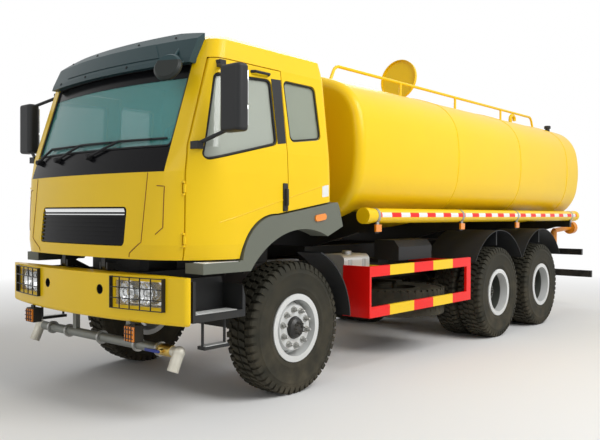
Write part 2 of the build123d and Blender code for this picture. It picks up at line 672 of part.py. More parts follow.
beam_top_z = 590.0
rear_tube_radius = 82.0
rear_hub_x = 620.0
with BuildPart() as axles:
    with BuildSketch(at_y(front_axle_y)) as beam:
        with BuildLine():
            Polyline((-kingpin_x, axle_z + 45), (-620, axle_z + 45), (-520, beam_top_z), (520, beam_top_z),
                     (620, axle_z + 45), (kingpin_x, axle_z + 45), (kingpin_x, axle_z - 45), (620, axle_z - 45),
                     (520, beam_top_z - 110), (-520, beam_top_z - 110), (-620, axle_z - 45),
                     (-kingpin_x, axle_z - 45), (-kingpin_x, axle_z + 45))
        make_face()
    extrude(amount=48, both=True)
    for side in (-1, 1):
        with Locations((side * kingpin_x, front_axle_y, axle_z)):
            Cylinder(kingpin_eye_radius, kingpin_eye_height)
            Cylinder(kingpin_radius, kingpin_eye_height + 2, mode=Mode.SUBTRACT)

    for place in (mid_axle_y, rear_axle_y):
        rod((-rear_hub_x, place, axle_z), (rear_hub_x, place, axle_z), rear_tube_radius)
        for side in (-1, 1):
            rod((side * rear_hub_x, place, axle_z), (side * 1060, place, axle_z), spindle_radius)
        with Locations((0, place, axle_z)):
            Sphere(225)
    for shaft in (mid_axle_y - 300, mid_axle_y + 300, rear_axle_y - 300):
        towards = mid_axle_y if shaft < rear_axle_y - 350 else rear_axle_y
        lift = 40 if shaft < mid_axle_y else 20
        rod((0, shaft, axle_z + lift), (0, towards, axle_z + lift), 70)

trunnion_y = mid_axle_y + tandem / 2
bogie_spring_x = 495.0
with BuildPart() as leaf_springs:
    for side in (-1, 1):
        with BuildSketch(Plane.YZ.offset(side * spring_x)) as front_leaf:
            with BuildLine():
                ThreePointArc((aft(-690), 735), (front_axle_y, beam_top_z), (aft(690), 735))
                Line((aft(690), 735), (aft(690), 760))
                ThreePointArc((aft(690), 760), (front_axle_y, beam_top_z + 62), (aft(-690), 760))
                Line((aft(-690), 760), (aft(-690), 735))
            make_face()
        extrude(amount=spring_width / 2, both=True)
        for place in (-690.0, 690.0):
            block(side * (spring_x - 38), side * (spring_x + 38), aft(place - 45), aft(place + 45), 715, rail_bottom_z)
        seat_z = axle_z + rear_tube_radius
        with BuildSketch(Plane.YZ.offset(side * bogie_spring_x)) as bogie_leaf:
            with BuildLine():
                ThreePointArc((mid_axle_y - 60, seat_z), (trunnion_y, seat_z + 10), (rear_axle_y + 60, seat_z))
                Line((rear_axle_y + 60, seat_z), (rear_axle_y + 60, seat_z + 28))
                ThreePointArc((rear_axle_y + 60, seat_z + 28), (trunnion_y, seat_z + 155),
                              (mid_axle_y - 60, seat_z + 28))
                Line((mid_axle_y - 60, seat_z + 28), (mid_axle_y - 60, seat_z))
            make_face()
        extrude(amount=45, both=True)
        block(side * rail_outer_x, side * (bogie_spring_x + 55), trunnion_y - 130, trunnion_y + 130, 560, 980)

# Steering knuckles

lug_height = 60.0
lug_gap = 2.0
plate_x = kingpin_x + 74
with BuildPart() as knuckle_left:
    with Locations((kingpin_x, front_axle_y, axle_z)):
        Cylinder(kingpin_radius - running_gap, kingpin_eye_height + 2 * lug_gap + 2 * lug_height)
    for level in (-1, 1):
        lug_z = axle_z + level * (kingpin_eye_height / 2 + lug_gap + lug_height / 2)
        with Locations((kingpin_x, front_axle_y, lug_z)):
            Cylinder(kingpin_eye_radius, lug_height)
        block(kingpin_x, plate_x, front_axle_y - 45, front_axle_y + 45, lug_z - lug_height / 2,
              lug_z + lug_height / 2)
    block(plate_x - 16, plate_x + 10, front_axle_y - 60, front_axle_y + 60, axle_z - 127, axle_z + 127)
    rod((plate_x, front_axle_y, axle_z), (front_tyre_x + 120, front_axle_y, axle_z), spindle_radius)
with BuildPart() as knuckle_right:
    mirror(knuckle_left.part, about=Plane.YZ)

# Wheels: each profile is turned about the axle line


def tyre_section(centre):
    """Half section of a tyre in the XZ plane, in axle coordinates: X across, Y outward."""
    half = tyre_width / 2
    with BuildSketch() as section:
        with BuildLine():
            Polyline((centre - bead_width / 2, bead_radius + running_gap),
                     (centre - bead_width / 2, rim_flange_radius + 6),
                     (centre - half, tyre_radius * 0.74), (centre - half + 8, tyre_radius - 62),
                     (centre - tyre_crown_width / 2, tyre_radius), (centre + tyre_crown_width / 2, tyre_radius),
                     (centre + half - 8, tyre_radius - 62), (centre + half, tyre_radius * 0.74),
                     (centre + bead_width / 2, rim_flange_radius + 6),
                     (centre + bead_width / 2, bead_radius + running_gap),
                     (centre - bead_width / 2, bead_radius + running_gap))
        make_face()
    return section.sketch


def barrel_section(centre):
    """Half section of a rim's barrel with its two flanges, in axle coordinates."""
    inner = bead_width / 2 + running_gap
    with BuildSketch() as section:
        with Locations((centre, bead_radius - rim_wall / 2)):
            Rectangle(2 * (inner + rim_wall), rim_wall)
        for end in (-1, 1):
            with Locations((centre + end * (inner + rim_wall / 2), (bead_radius - rim_wall + rim_flange_radius) / 2)):
                Rectangle(rim_wall, rim_flange_radius - bead_radius + rim_wall)
    return section.sketch


hub_bore = spindle_radius + running_gap
front_disc_x = front_tyre_x + 115
hub_inner_x = front_tyre_x - 55
hub_outer_x = front_tyre_x + 165
with BuildSketch() as front_disc_section:
    Polygon((front_tyre_x + 20, bead_radius - rim_wall + 1), (front_disc_x, bolt_face_radius), (front_disc_x, 90),
            (hub_outer_x - 20, 84), (hub_outer_x, 62), (hub_outer_x, 0), (front_tyre_x + 122, 0),
            (front_tyre_x + 122, hub_bore), (hub_inner_x, hub_bore), (hub_inner_x, 130), (front_disc_x - 16, 150),
            (front_disc_x - 16, bolt_face_radius - 5), (front_tyre_x - 2, bead_radius - rim_wall + 1), align=None)

dual_mid_x = (inner_tyre_x + outer_tyre_x) / 2
with BuildSketch() as rear_disc_section:
    Polygon((dual_mid_x + 78, bead_radius - rim_wall + 1), (dual_mid_x + 16, bolt_face_radius + 10),
            (dual_mid_x + 16, 140), (dual_mid_x + 150, 118), (dual_mid_x + 190, 96), (dual_mid_x + 190, 0),
            (1062, 0), (1062, hub_bore), (rear_hub_x + 60, hub_bore), (rear_hub_x + 60, 150),
            (dual_mid_x - 16, 170), (dual_mid_x - 16, bolt_face_radius + 10),
            (dual_mid_x - 78, bead_radius - rim_wall + 1), (dual_mid_x - 96, bead_radius - rim_wall + 1),
            (dual_mid_x - 96, bead_radius - rim_wall + 1.5), (dual_mid_x + 96, bead_radius - rim_wall + 1.5),
            (dual_mid_x + 96, bead_radius - rim_wall + 1), align=None)

front_rim_profile = barrel_section(front_tyre_x) + front_disc_section.sketch
rear_rim_profile = barrel_section(inner_tyre_x) + barrel_section(outer_tyre_x) + rear_disc_section.sketch


def axle_plane(place):
    """Plane through an axle line: X across the truck, Y upward from the axle."""
    return Plane(origin=(0, place, axle_z), x_dir=(1, 0, 0), z_dir=(0, -1, 0))


def turned(profile, place):
    """Ring turned from a half section about the axle line at a Y place."""
    line = Axis((0, place, axle_z), (1, 0, 0))
    with BuildPart() as ring:
        revolve(axle_plane(place) * profile, axis=line)
    return ring.part


with BuildPart() as front_tyre_left:
    add(turned(tyre_section(front_tyre_x), front_axle_y))
with BuildPart() as front_rim_left:
    add(turned(front_rim_profile, front_axle_y))
    with Locations(Plane(origin=(front_tyre_x, front_axle_y, axle_z), x_dir=(0, 1, 0), z_dir=(1, 0, 0))):
        with PolarLocations(bolt_face_radius + vent_set, vent_count):
            Cylinder(vent_radius, vent_cut, mode=Mode.SUBTRACT)
with BuildPart() as front_tyre_right:
    mirror(front_tyre_left.part, about=Plane.YZ)
with BuildPart() as front_rim_right:
    mirror(front_rim_left.part, about=Plane.YZ)

with BuildPart() as mid_tyres_left:
    add(turned(tyre_section(inner_tyre_x), mid_axle_y))
    add(turned(tyre_section(outer_tyre_x), mid_axle_y))
with BuildPart() as mid_rims_left:
    add(turned(rear_rim_profile, mid_axle_y))
with BuildPart() as mid_tyres_right:
    mirror(mid_tyres_left.part, about=Plane.YZ)
with BuildPart() as mid_rims_right:
    mirror(mid_rims_left.part, about=Plane.YZ)
with BuildPart() as rear_tyres_left:
    add(Pos(0, tandem, 0) * mid_tyres_left.part)
with BuildPart() as rear_rims_left:
    add(Pos(0, tandem, 0) * mid_rims_left.part)
with BuildPart() as rear_tyres_right:
    mirror(rear_tyres_left.part, about=Plane.YZ)
with BuildPart() as rear_rims_right:
    mirror(rear_rims_left.part, about=Plane.YZ)

# Water tank and what it carries

# Everything the dished rear end leaves of the tank: a ball behind, a plain block ahead
dish_radius = (tank_half_width**2 + tank_rear_bulge**2) / (2 * tank_rear_bulge)
dish_centre_y = aft(tank_front + tank_length - dish_radius)
with BuildPart() as tank_envelope:
    with Locations((0, dish_centre_y, tank_mid_z)):
        Sphere(dish_radius)
    block(-dish_radius, dish_radius, aft(cut_front), dish_centre_y, tank_mid_z - dish_radius, tank_mid_z + dish_radius)

with BuildPart() as water_tank:
    with BuildSketch(at_y(aft(tank_front))) as tank_section:
        with BuildLine():
            flank = tank_half_height
            side_sag = tank_side_radius - sqrt(tank_side_radius**2 - flank**2)
            crown_sag = tank_top_radius - sqrt(tank_top_radius**2 - tank_half_width**2)
            corner_x = tank_half_width - side_sag
            corner_z = tank_half_height - crown_sag
            for turn in (1, -1):
                ThreePointArc((-turn * corner_x, tank_mid_z + turn * corner_z), (0, tank_mid_z + turn * flank),
                              (turn * corner_x, tank_mid_z + turn * corner_z))
                ThreePointArc((turn * corner_x, tank_mid_z + turn * corner_z), (turn * tank_half_width, tank_mid_z),
                              (turn * corner_x, tank_mid_z - turn * corner_z))
        make_face()
        fillet(tank_section.vertices(), tank_corner_radius)
    extrude(amount=-tank_length)
    fillet(water_tank.faces().sort_by(Axis.Y)[0].edges(), tank_front_round)
    add(tank_envelope, mode=Mode.INTERSECT)
    with Locations((0, aft(manhole_y), tank_top_z - manhole_depth / 2 + 10)):
        Cylinder(manhole_radius, manhole_depth + 20, mode=Mode.SUBTRACT)

sill_top_z = 1200.0
sill_front = 960.0
sill_rear = 6380.0
with BuildPart() as tank_sills:
    for side in (-1, 1):
        block(side * (rail_outer_x - rail_flange), side * rail_outer_x, aft(sill_front), aft(sill_rear), rail_top_z,
              sill_top_z)

with BuildPart() as tank_saddles:
    for place in saddle_places:
        with BuildSketch(at_y(aft(place - saddle_plate / 2))) as saddle:
            Polygon((-rail_outer_x, sill_top_z), (rail_outer_x, sill_top_z), (1000, 1350), (1000, 1560), (-1000, 1560),
                    (-1000, 1350), align=None)
        extrude(amount=-saddle_plate)
        block(-locker_x - 40, locker_x + 40, aft(place - saddle_plate / 2), aft(place + saddle_plate / 2), 1350,
              locker_z)
    add(water_tank.part, mode=Mode.SUBTRACT)
    for side in (-1, 1):
        rod((side * locker_x, aft(900), locker_z), (side * locker_x, aft(6700), locker_z), locker_radius + 0.3,
            mode=Mode.SUBTRACT)

with BuildPart() as hose_lockers:
    for side in (-1, 1):
        tube_end = locker_front + locker_length
        rod((side * locker_x, aft(locker_front), locker_z), (side * locker_x, aft(tube_end), locker_z), locker_radius)
        for end in (locker_front - 20, tube_end - 60):
            rod((side * locker_x, aft(end), locker_z), (side * locker_x, aft(end + 80), locker_z), locker_radius + 6)

with BuildPart() as marker_lamps:
    for side in (-1, 1):
        for place in saddle_places[:3]:
            block(side * (locker_x + 40), side * (locker_x + 62), aft(place - 45), aft(place + 45), 1365, 1435)
        block(side * (fog_x - fog_half + 8), side * (fog_x + fog_half - 8), aft(fog_y - 44), aft(fog_y - 30),
              fog_z - fog_half + 8, fog_z + fog_half - 8)

with BuildPart() as top_rails:
    rail_x = 600.0
    rail_tube = 17.0
    rail_z = 3074.0
    for side in (-1, 1):
        with BuildLine() as rail_path:
            FilletPolyline((side * rail_x, aft(1150), 2900), (side * rail_x, aft(1240), rail_z),
                           (side * rail_x, aft(6260), rail_z), (side * rail_x, aft(6350), 2900), radius=110)
        with BuildSketch(Plane(origin=rail_path.line @ 0, z_dir=rail_path.line % 0)):
            Circle(rail_tube)
        sweep()
        for place in (2480.0, 3800.0, 5170.0):
            rod((side * rail_x, aft(place), 2900), (side * rail_x, aft(place), rail_z - 4), rail_tube - 1)
    add(water_tank.part, mode=Mode.SUBTRACT)

lid_hinge_y = manhole_y + lid_hinge_back
lid_hinge_z = tank_top_z + manhole_rise + 6
with BuildPart() as tank_fittings:
    with Locations((0, aft(manhole_y), tank_top_z + manhole_rise / 2 - 30)):
        Cylinder(manhole_radius + manhole_wall, manhole_rise + 60)
        Cylinder(manhole_radius, manhole_rise + 62, mode=Mode.SUBTRACT)
    for side in (-1, 1):
        block(side * 60, side * 84, aft(manhole_y + lid_radius + 6), aft(lid_hinge_y + 12), tank_top_z - 30,
              lid_hinge_z + 12)
    with BuildLine() as vent_path:
        FilletPolyline((300, aft(6180), 2900), (300, aft(6180), 3130), (300, aft(6330), 3130), (300, aft(6330), 3050),
                       radius=60)
    with BuildSketch(Plane(origin=vent_path.line @ 0, z_dir=vent_path.line % 0)):
        Circle(28)
    sweep()
    add(water_tank.part, mode=Mode.SUBTRACT)
    rod((-100, aft(lid_hinge_y), lid_hinge_z), (100, aft(lid_hinge_y), lid_hinge_z), 10.3, mode=Mode.SUBTRACT)

lid_up = Vector(0, -cos(radians(lid_open_angle)), sin(radians(lid_open_angle)))
lid_out = Vector(0, sin(radians(lid_open_angle)), cos(radians(lid_open_angle)))
with BuildPart() as manhole_lid:
    lid_plane = Plane(origin=Vector(0, aft(lid_hinge_y), lid_hinge_z) + lid_up * lid_hinge_back, x_dir=(1, 0, 0),
                      z_dir=lid_out)
    with BuildSketch(lid_plane) as lid_disc:
        Circle(lid_radius)
    extrude(amount=lid_plate)
    with BuildSketch(lid_plane) as lid_rim:
        Circle(lid_radius)
        Circle(lid_radius - 10, mode=Mode.SUBTRACT)
    extrude(amount=-24)
    strap_plane = Plane(origin=Vector(0, aft(lid_hinge_y), lid_hinge_z), x_dir=(1, 0, 0), z_dir=lid_out)
    with BuildSketch(strap_plane) as strap:
        with Locations((0, -lid_hinge_back / 2)):
            Rectangle(100, lid_hinge_back)
    extrude(amount=lid_plate)
    rod((-92, aft(lid_hinge_y), lid_hinge_z), (92, aft(lid_hinge_y), lid_hinge_z), 10)

# Chassis furniture along the sides

strut_z = 985.0
with BuildPart() as side_guards:
    guard_x = body_half_width - 40
    guard_plate = 30.0
    guard_front = 970.0
    guard_rear = 3020.0
    guard_low_z = 540.0
    guard_high_z = 1035.0
    with BuildSketch(Plane.YZ.offset(guard_x)) as guard_frame:
        with Locations((aft((guard_front + guard_rear) / 2), (guard_low_z + guard_high_z) / 2)):
            Rectangle(guard_rear - guard_front, guard_high_z - guard_low_z)
        with Locations((aft((guard_front + guard_rear) / 2 - 35), (643 + 933) / 2)):
            Rectangle(guard_rear - guard_front - 130, 933 - 643, mode=Mode.SUBTRACT)
    extrude(amount=guard_plate)
    block(guard_x - 290, guard_x, aft(guard_front), aft(guard_front + 24), guard_low_z, guard_high_z)
    for place in (1480.0, 2960.0):
        block(rail_outer_x, guard_x, aft(place - 25), aft(place + 25), strut_z - 22, strut_z + 22)
    mirror(about=Plane.YZ)

with BuildPart() as battery_box:
    with BuildSketch(at_y(aft(1730))) as box_end:
        Polygon((760, 1050), (1070, 1050), (1070, 1190), (1010, 1262), (760, 1262), align=None)
    extrude(amount=-670)
    fillet(battery_box.edges().filter_by(Axis.Y).sort_by(Axis.Z)[-2:], 25)
    block(rail_outer_x, 760, aft(1800), aft(1860), 1010, 1056)
    block(rail_outer_x, 760, aft(2270), aft(2330), 1010, 1056)

with BuildPart() as fuel_tank:
    block(560, 900, aft(1010), aft(1440), 630, 1130)
    fillet(fuel_tank.edges().filter_by(Axis.Y), 60)
    for place in (1080.0, 1340.0):
        block(rail_outer_x, 560, aft(place), aft(place + 50), 860, 1000)

with BuildPart() as air_tanks:
    # Columns: side of the truck, start behind the front axle
    air_tank_places = ((1, 2480.0), (-1, 1500.0), (-1, 2300.0))
    air_tank_radius = 100.0
    air_tank_length = 640.0
    air_tank_x = 580.0
    air_tank_z = 1120.0
    for side, start in air_tank_places:
        rod((side * air_tank_x, aft(start), air_tank_z),
            (side * air_tank_x, aft(start + air_tank_length), air_tank_z), air_tank_radius)
    fillet(air_tanks.edges().filter_by(GeomType.CIRCLE), 45)
    for side, start in air_tank_places:
        for place in (120.0, 400.0):
            block(side * rail_outer_x, side * (air_tank_x - 60), aft(start + place - 25), aft(start + place + 25),
                  990, 1058)

spare_x = 628.0
spare_y = 2330.0
spare_z = 560.0
with BuildPart() as spare_wheel:
    spare_axis = Axis((spare_x, aft(spare_y), 0), (0, 0, 1))
    spare_plane = Plane(origin=(spare_x, aft(spare_y), spare_z), x_dir=(0, 0, 1), z_dir=(0, 1, 0))
    revolve(spare_plane * tyre_section(0), axis=spare_axis)
    revolve(spare_plane * barrel_section(0), axis=spare_axis)
    with Locations((spare_x, aft(spare_y), spare_z + 60)):
        Cylinder(bead_radius - rim_wall + 2, 14)
    rod((spare_x, aft(spare_y), spare_z + 60), (spare_x, aft(spare_y), rail_bottom_z - 20), 26)
    block(rail_outer_x - rail_flange, spare_x + 60, aft(spare_y - 60), aft(spare_y + 60), rail_bottom_z - 20,
          rail_bottom_z)

with BuildPart() as mudguards:
    guard_radius = 780.0
    guard_sheet = 8.0
    guard_half_angle = 58.0
    for place in (mid_axle_y, rear_axle_y):
        for side in (-1, 1):
            with BuildSketch(Plane.YZ.offset(side * 590)) as fender:
                with BuildLine():
                    reach = [(r * sin(radians(guard_half_angle)), r * cos(radians(guard_half_angle)))
                             for r in (guard_radius, guard_radius - guard_sheet)]
                    ThreePointArc((place - reach[0][0], axle_z + reach[0][1]), (place, axle_z + guard_radius),
                                  (place + reach[0][0], axle_z + reach[0][1]))
                    Line((place + reach[0][0], axle_z + reach[0][1]), (place + reach[1][0], axle_z + reach[1][1]))
                    ThreePointArc((place + reach[1][0], axle_z + reach[1][1]),
                                  (place, axle_z + guard_radius - guard_sheet),
                                  (place - reach[1][0], axle_z + reach[1][1]))
                    Line((place - reach[1][0], axle_z + reach[1][1]), (place - reach[0][0], axle_z + reach[0][1]))
                make_face()
            extrude(amount=side * 660)
            block(side * rail_outer_x, side * 500, place - 12, place + 12, 1150, 1195)
            block(side * 500, side * 1200, place - 12, place + 12, 1150, axle_z + guard_radius - 4)
    flap_radius = 690.0
    for side in (-1, 1):
        with BuildSketch(Plane.YZ.offset(side * 930)) as flap:
            with BuildLine():
                angles = (3.0, 35.0, 68.0)
                outer = [(front_axle_y + flap_radius * cos(radians(a)), axle_z + flap_radius * sin(radians(a)))
                         for a in angles]
                inner = [(front_axle_y + (flap_radius - 12) * cos(radians(a)),
                          axle_z + (flap_radius - 12) * sin(radians(a))) for a in angles]
                ThreePointArc(*outer)
                Line(outer[2], inner[2])
                ThreePointArc(inner[2], inner[1], inner[0])
                Line(inner[0], outer[0])
            make_face()
        extrude(amount=side * 290)
        block(side * rail_outer_x, side * 1180, aft(560), aft(590), 950, 985)

with BuildPart() as entry_steps:
    with BuildSketch(Plane.YZ.offset(940)) as step_side:
        Polygon((aft(-1215), 745), (aft(-690), 745), (aft(-690), 900), (aft(-735), 1045), (aft(-1215), 1045),
                align=None)
    extrude(amount=body_half_width - 10 - 940)
    block(1010, body_half_width, aft(-1190), aft(-720), 800, 1050, mode=Mode.SUBTRACT)
    for place in (-1050.0, -830.0):
        rod((1150, aft(place), 545), (1150, aft(place), 750), 11)
    block(1110, 1190, aft(-1065), aft(-815), 525, 550)
    block(rail_outer_x, 945, aft(-1110), aft(-1050), 850, 930)
    mirror(about=Plane.YZ)

with BuildPart() as rear_piping:
    pipe_y = 6470.0
    pipe_z = 1150.0
    pipe_radius = 48.0
    rod((-900, aft(pipe_y), pipe_z), (900, aft(pipe_y), pipe_z), pipe_radius)
    rod((0, aft(pipe_y), pipe_z), (0, aft(pipe_y), 1500), 62)
    for side in (-1, 1):
        rod((side * 900, aft(pipe_y), pipe_z - 60), (side * 900, aft(pipe_y), 1290), pipe_radius)
        rod((side * 900, aft(pipe_y), 1290), (side * 980, aft(6960), 1330), 36)
        rod((side * 975, aft(6930), 1328), (side * 990, aft(7010), 1334), 100)
    add(water_tank.part, mode=Mode.SUBTRACT)
    add(tank_saddles.part, mode=Mode.SUBTRACT)

pieces = {
    "frame_rails": frame_rails, "crossmembers": crossmembers, "tail_lamps": tail_lamps,
    "driveline": driveline, "axles": axles,
    "leaf_springs": leaf_springs, "bumper": bumper, "headlamps": headlamps, "lamp_guards": lamp_guards,
    "marker_lamps": marker_lamps, "spray_bar": spray_bar, "entry_steps": entry_steps, "mudguards": mudguards,
    "fuel_tank": fuel_tank, "battery_box": battery_box, "air_tanks": air_tanks, "spare_wheel": spare_wheel,
    "side_guards": side_guards, "water_tank": water_tank, "tank_sills": tank_sills,
    "tank_saddles": tank_saddles,
    "hose_lockers": hose_lockers, "top_rails": top_rails, "tank_fittings": tank_fittings,
    "rear_piping": rear_piping, "manhole_lid": manhole_lid,
    "cab_floor": cab_floor, "cab_back": cab_back, "cab_roof": cab_roof, "cab_quarters": cab_quarters,
    "cab_pillars": cab_pillars, "cab_front": cab_front, "visor": visor, "cab_glass": cab_glass, "grille": grille,
    "cowl": cowl, "arch_fairings": arch_fairings, "turn_lamps": turn_lamps, "seats": seats,
    "dashboard": dashboard,
    "door_left": door_left, "door_right": door_right, "door_glass_left": door_glass_left,
    "door_glass_right": door_glass_right, "mirror_left": mirror_left, "mirror_right": mirror_right,
    "knuckle_left": knuckle_left, "knuckle_right": knuckle_right,
    "front_tyre_left": front_tyre_left, "front_tyre_right": front_tyre_right,
    "front_rim_left": front_rim_left, "front_rim_right": front_rim_right,
    "mid_tyres_left": mid_tyres_left, "mid_tyres_right": mid_tyres_right,
    "mid_rims_left": mid_rims_left, "mid_rims_right": mid_rims_right,
    "rear_tyres_left": rear_tyres_left, "rear_tyres_right": rear_tyres_right,
    "rear_rims_left": rear_rims_left, "rear_rims_right": rear_rims_right,
}
for name, piece in pieces.items():
    piece.part.label = name
    export_step(piece.part, f"parts/{name}.step")
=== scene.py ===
from math import cos, pi, radians, sin, tan, tau

import bmesh
import bpy
from bpy.props import FloatProperty, FloatVectorProperty, IntProperty, PointerProperty
from mathutils import Matrix, Vector
from mathutils.bvhtree import BVHTree


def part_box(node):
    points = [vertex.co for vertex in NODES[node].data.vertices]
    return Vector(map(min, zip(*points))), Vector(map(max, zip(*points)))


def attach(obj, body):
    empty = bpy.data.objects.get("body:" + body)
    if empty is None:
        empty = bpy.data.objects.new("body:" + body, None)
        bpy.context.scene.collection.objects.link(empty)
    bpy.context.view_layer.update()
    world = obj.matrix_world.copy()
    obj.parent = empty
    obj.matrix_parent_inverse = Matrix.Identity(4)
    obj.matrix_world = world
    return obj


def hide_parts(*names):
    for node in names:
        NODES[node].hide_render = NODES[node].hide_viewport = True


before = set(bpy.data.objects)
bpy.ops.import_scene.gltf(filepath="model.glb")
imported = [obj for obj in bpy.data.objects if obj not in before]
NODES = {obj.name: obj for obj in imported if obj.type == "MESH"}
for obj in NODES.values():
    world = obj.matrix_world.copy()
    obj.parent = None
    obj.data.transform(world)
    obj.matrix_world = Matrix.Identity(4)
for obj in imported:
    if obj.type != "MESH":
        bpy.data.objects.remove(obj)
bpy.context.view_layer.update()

bl_info = {
    "name": "Water Tanker Truck",
    "version": (1, 0, 0),
    "blender": (4, 5, 0),
    "location": "View3D > Sidebar > Tanker",
    "description": "Finishes, tyres and fittings of a water tanker truck around its solid parts",
    "category": "Object",
}

# Places read from the frame: metres, +X to the truck's left, front towards -Y
SIDES = (("left", 1), ("right", -1))
# Where rays onto the skins start: Y ahead of the truck, X beside it
AHEAD = -6.0
ASIDE = 3.0
TYRE_HALF_WIDTH = 0.155


def middle(node):
    """Centre of a CAD node's box."""
    low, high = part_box(node)
    return (low + high) / 2


FRONT_AXLE = middle("front_tyre_left")
MID_AXLE = middle("mid_tyres_left")
REAR_AXLE = middle("rear_tyres_left")
TYRE_RADIUS = FRONT_AXLE.z
DUAL_REACH = abs(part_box("mid_tyres_left")[1].x - MID_AXLE.x) - TYRE_HALF_WIDTH
LOCKER = middle("hose_lockers")
LOCKER_LOW, LOCKER_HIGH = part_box("hose_lockers")
TANK_LOW, TANK_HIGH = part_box("water_tank")


def aft(distance):
    """Y of a place given by its distance behind the front axle."""
    return FRONT_AXLE.y + distance


class TankerPaint(bpy.types.PropertyGroup):
    """Colours of the truck."""

    yellow: FloatVectorProperty(
        name="Yellow", description="Paint of the cab and tank", subtype="COLOR", default=(0.87, 0.57, 0.002))
    slate: FloatVectorProperty(
        name="Slate", description="Paint of the visor", subtype="COLOR", default=(0.022, 0.05, 0.056))
    grey: FloatVectorProperty(
        name="Grey", description="Moulded fairings", subtype="COLOR", default=(0.125, 0.135, 0.105))
    black: FloatVectorProperty(
        name="Black", description="Frame and springs", subtype="COLOR", default=(0.008, 0.008, 0.007))
    red: FloatVectorProperty(
        name="Red", description="Guards and tape", subtype="COLOR", default=(0.85, 0.006, 0.003))
    silver: FloatVectorProperty(
        name="Silver", description="Wheel paint", subtype="COLOR", default=(0.66, 0.67, 0.66))
    rubber: FloatVectorProperty(
        name="Rubber", description="Tyres", subtype="COLOR", default=(0.022, 0.021, 0.014))
    glass: FloatVectorProperty(
        name="Glass", description="Tint of the panes", subtype="COLOR", default=(0.09, 0.4, 0.39))
    amber: FloatVectorProperty(
        name="Amber", description="Side and fog lamps", subtype="COLOR", default=(0.85, 0.25, 0.01))


class TankerTyres(bpy.types.PropertyGroup):
    """Sizes of the tread and the wheel nuts."""

    lug_count: IntProperty(name="Lugs", description="Tread pitches round a tyre", default=50, min=20, max=90)
    lug_height: FloatProperty(
        name="Lug height", description="Depth of the tread", default=0.017, unit="LENGTH")
    lug_width: FloatProperty(
        name="Lug width", description="Length of a lug round the tyre", default=0.044, unit="LENGTH")
    nut_count: IntProperty(name="Nuts", description="Wheel nuts on a wheel", default=10, min=4, max=12)
    nut_circle: FloatProperty(
        name="Nut circle", description="Radius of the nut circle", default=0.155, unit="LENGTH")
    nut_radius: FloatProperty(name="Nut size", description="Radius of a nut", default=0.02, unit="LENGTH")


class TankerTrim(bpy.types.PropertyGroup):
    """Sizes of seals, tape and small fittings."""

    seal_radius: FloatProperty(
        name="Seal", description="Radius of a window's rubber seal", default=0.01, unit="LENGTH")
    seam_radius: FloatProperty(
        name="Seam", description="Half width of a panel seam", default=0.004, unit="LENGTH")
    weld_radius: FloatProperty(
        name="Weld", description="Radius of a weld bead on the tank", default=0.007, unit="LENGTH")
    tape_pitch: FloatProperty(
        name="Tape pitch", description="Length of a red and a white block", default=0.34, unit="LENGTH")
    bolt_radius: FloatProperty(
        name="Bolt", description="Radius of a frame bolt", default=0.014, unit="LENGTH")


class TankerStage(bpy.types.PropertyGroup):
    """Camera and lights."""

    lens: FloatProperty(
        name="Lens", description="Focal length on a 36 mm sensor", default=41.9, unit="CAMERA")
    key_power: FloatProperty(name="Key", description="Power of the key light", default=1000.0, unit="POWER")
    sky: FloatProperty(name="Sky", description="Strength of the sky on the object", default=0.4)


# Mesh helpers

def to_piece(bm, name, body, finish, smooth_angle=35.0):
    """Object from a bmesh, smoothed by angle, that rides a body."""
    mesh = bpy.data.meshes.new(name)
    bm.to_mesh(mesh)
    bm.free()
    obj = bpy.data.objects.new(name, mesh)
    bpy.context.scene.collection.objects.link(obj)
    dress(obj, body, finish, smooth_angle)
    return obj


def dress(obj, body, finish, smooth_angle=35.0):
    """Smooth shading, finish and body of a finished piece."""
    mesh = obj.data
    for face in mesh.polygons:
        face.use_smooth = True
    mesh.set_sharp_from_angle(angle=radians(smooth_angle))
    if not mesh.materials:
        mesh.materials.append(finish)
    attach(obj, body)


def basis(direction):
    """Two unit vectors square to a direction."""
    along = Vector(direction).normalized()
    helper = Vector((0, 0, 1)) if abs(along.z) < 0.9 else Vector((1, 0, 0))
    across = along.cross(helper).normalized()
    return across, across.cross(along)


def lathe(bm, profile, origin, axis, segments=32, closed=False):
    """Adds a turned shape: profile rows are (place along the axis, radius)."""
    along = Vector(axis).normalized()
    across, up = basis(along)
    turns = [tau * step / segments for step in range(segments)]
    rings = []
    for place, radius in profile:
        centre = Vector(origin) + along * place
        if radius < 1e-6:
            rings.append([bm.verts.new(centre)])
            continue
        rings.append([bm.verts.new(centre + (across * cos(a) + up * sin(a)) * radius) for a in turns])
    pairs = list(zip(rings, rings[1:]))
    if closed:
        pairs.append((rings[-1], rings[0]))
    for first, second in pairs:
        for step in range(segments):
            ahead = (step + 1) % segments
            corners = [first[step % len(first)], first[ahead % len(first)], second[ahead % len(second)],
                       second[step % len(second)]]
            unique = list(dict.fromkeys(corners))
            if len(unique) > 2:
                bm.faces.new(unique)
    if not closed:
        for ring in (rings[0], rings[-1]):
            if len(ring) > 2:
                bm.faces.new(ring)


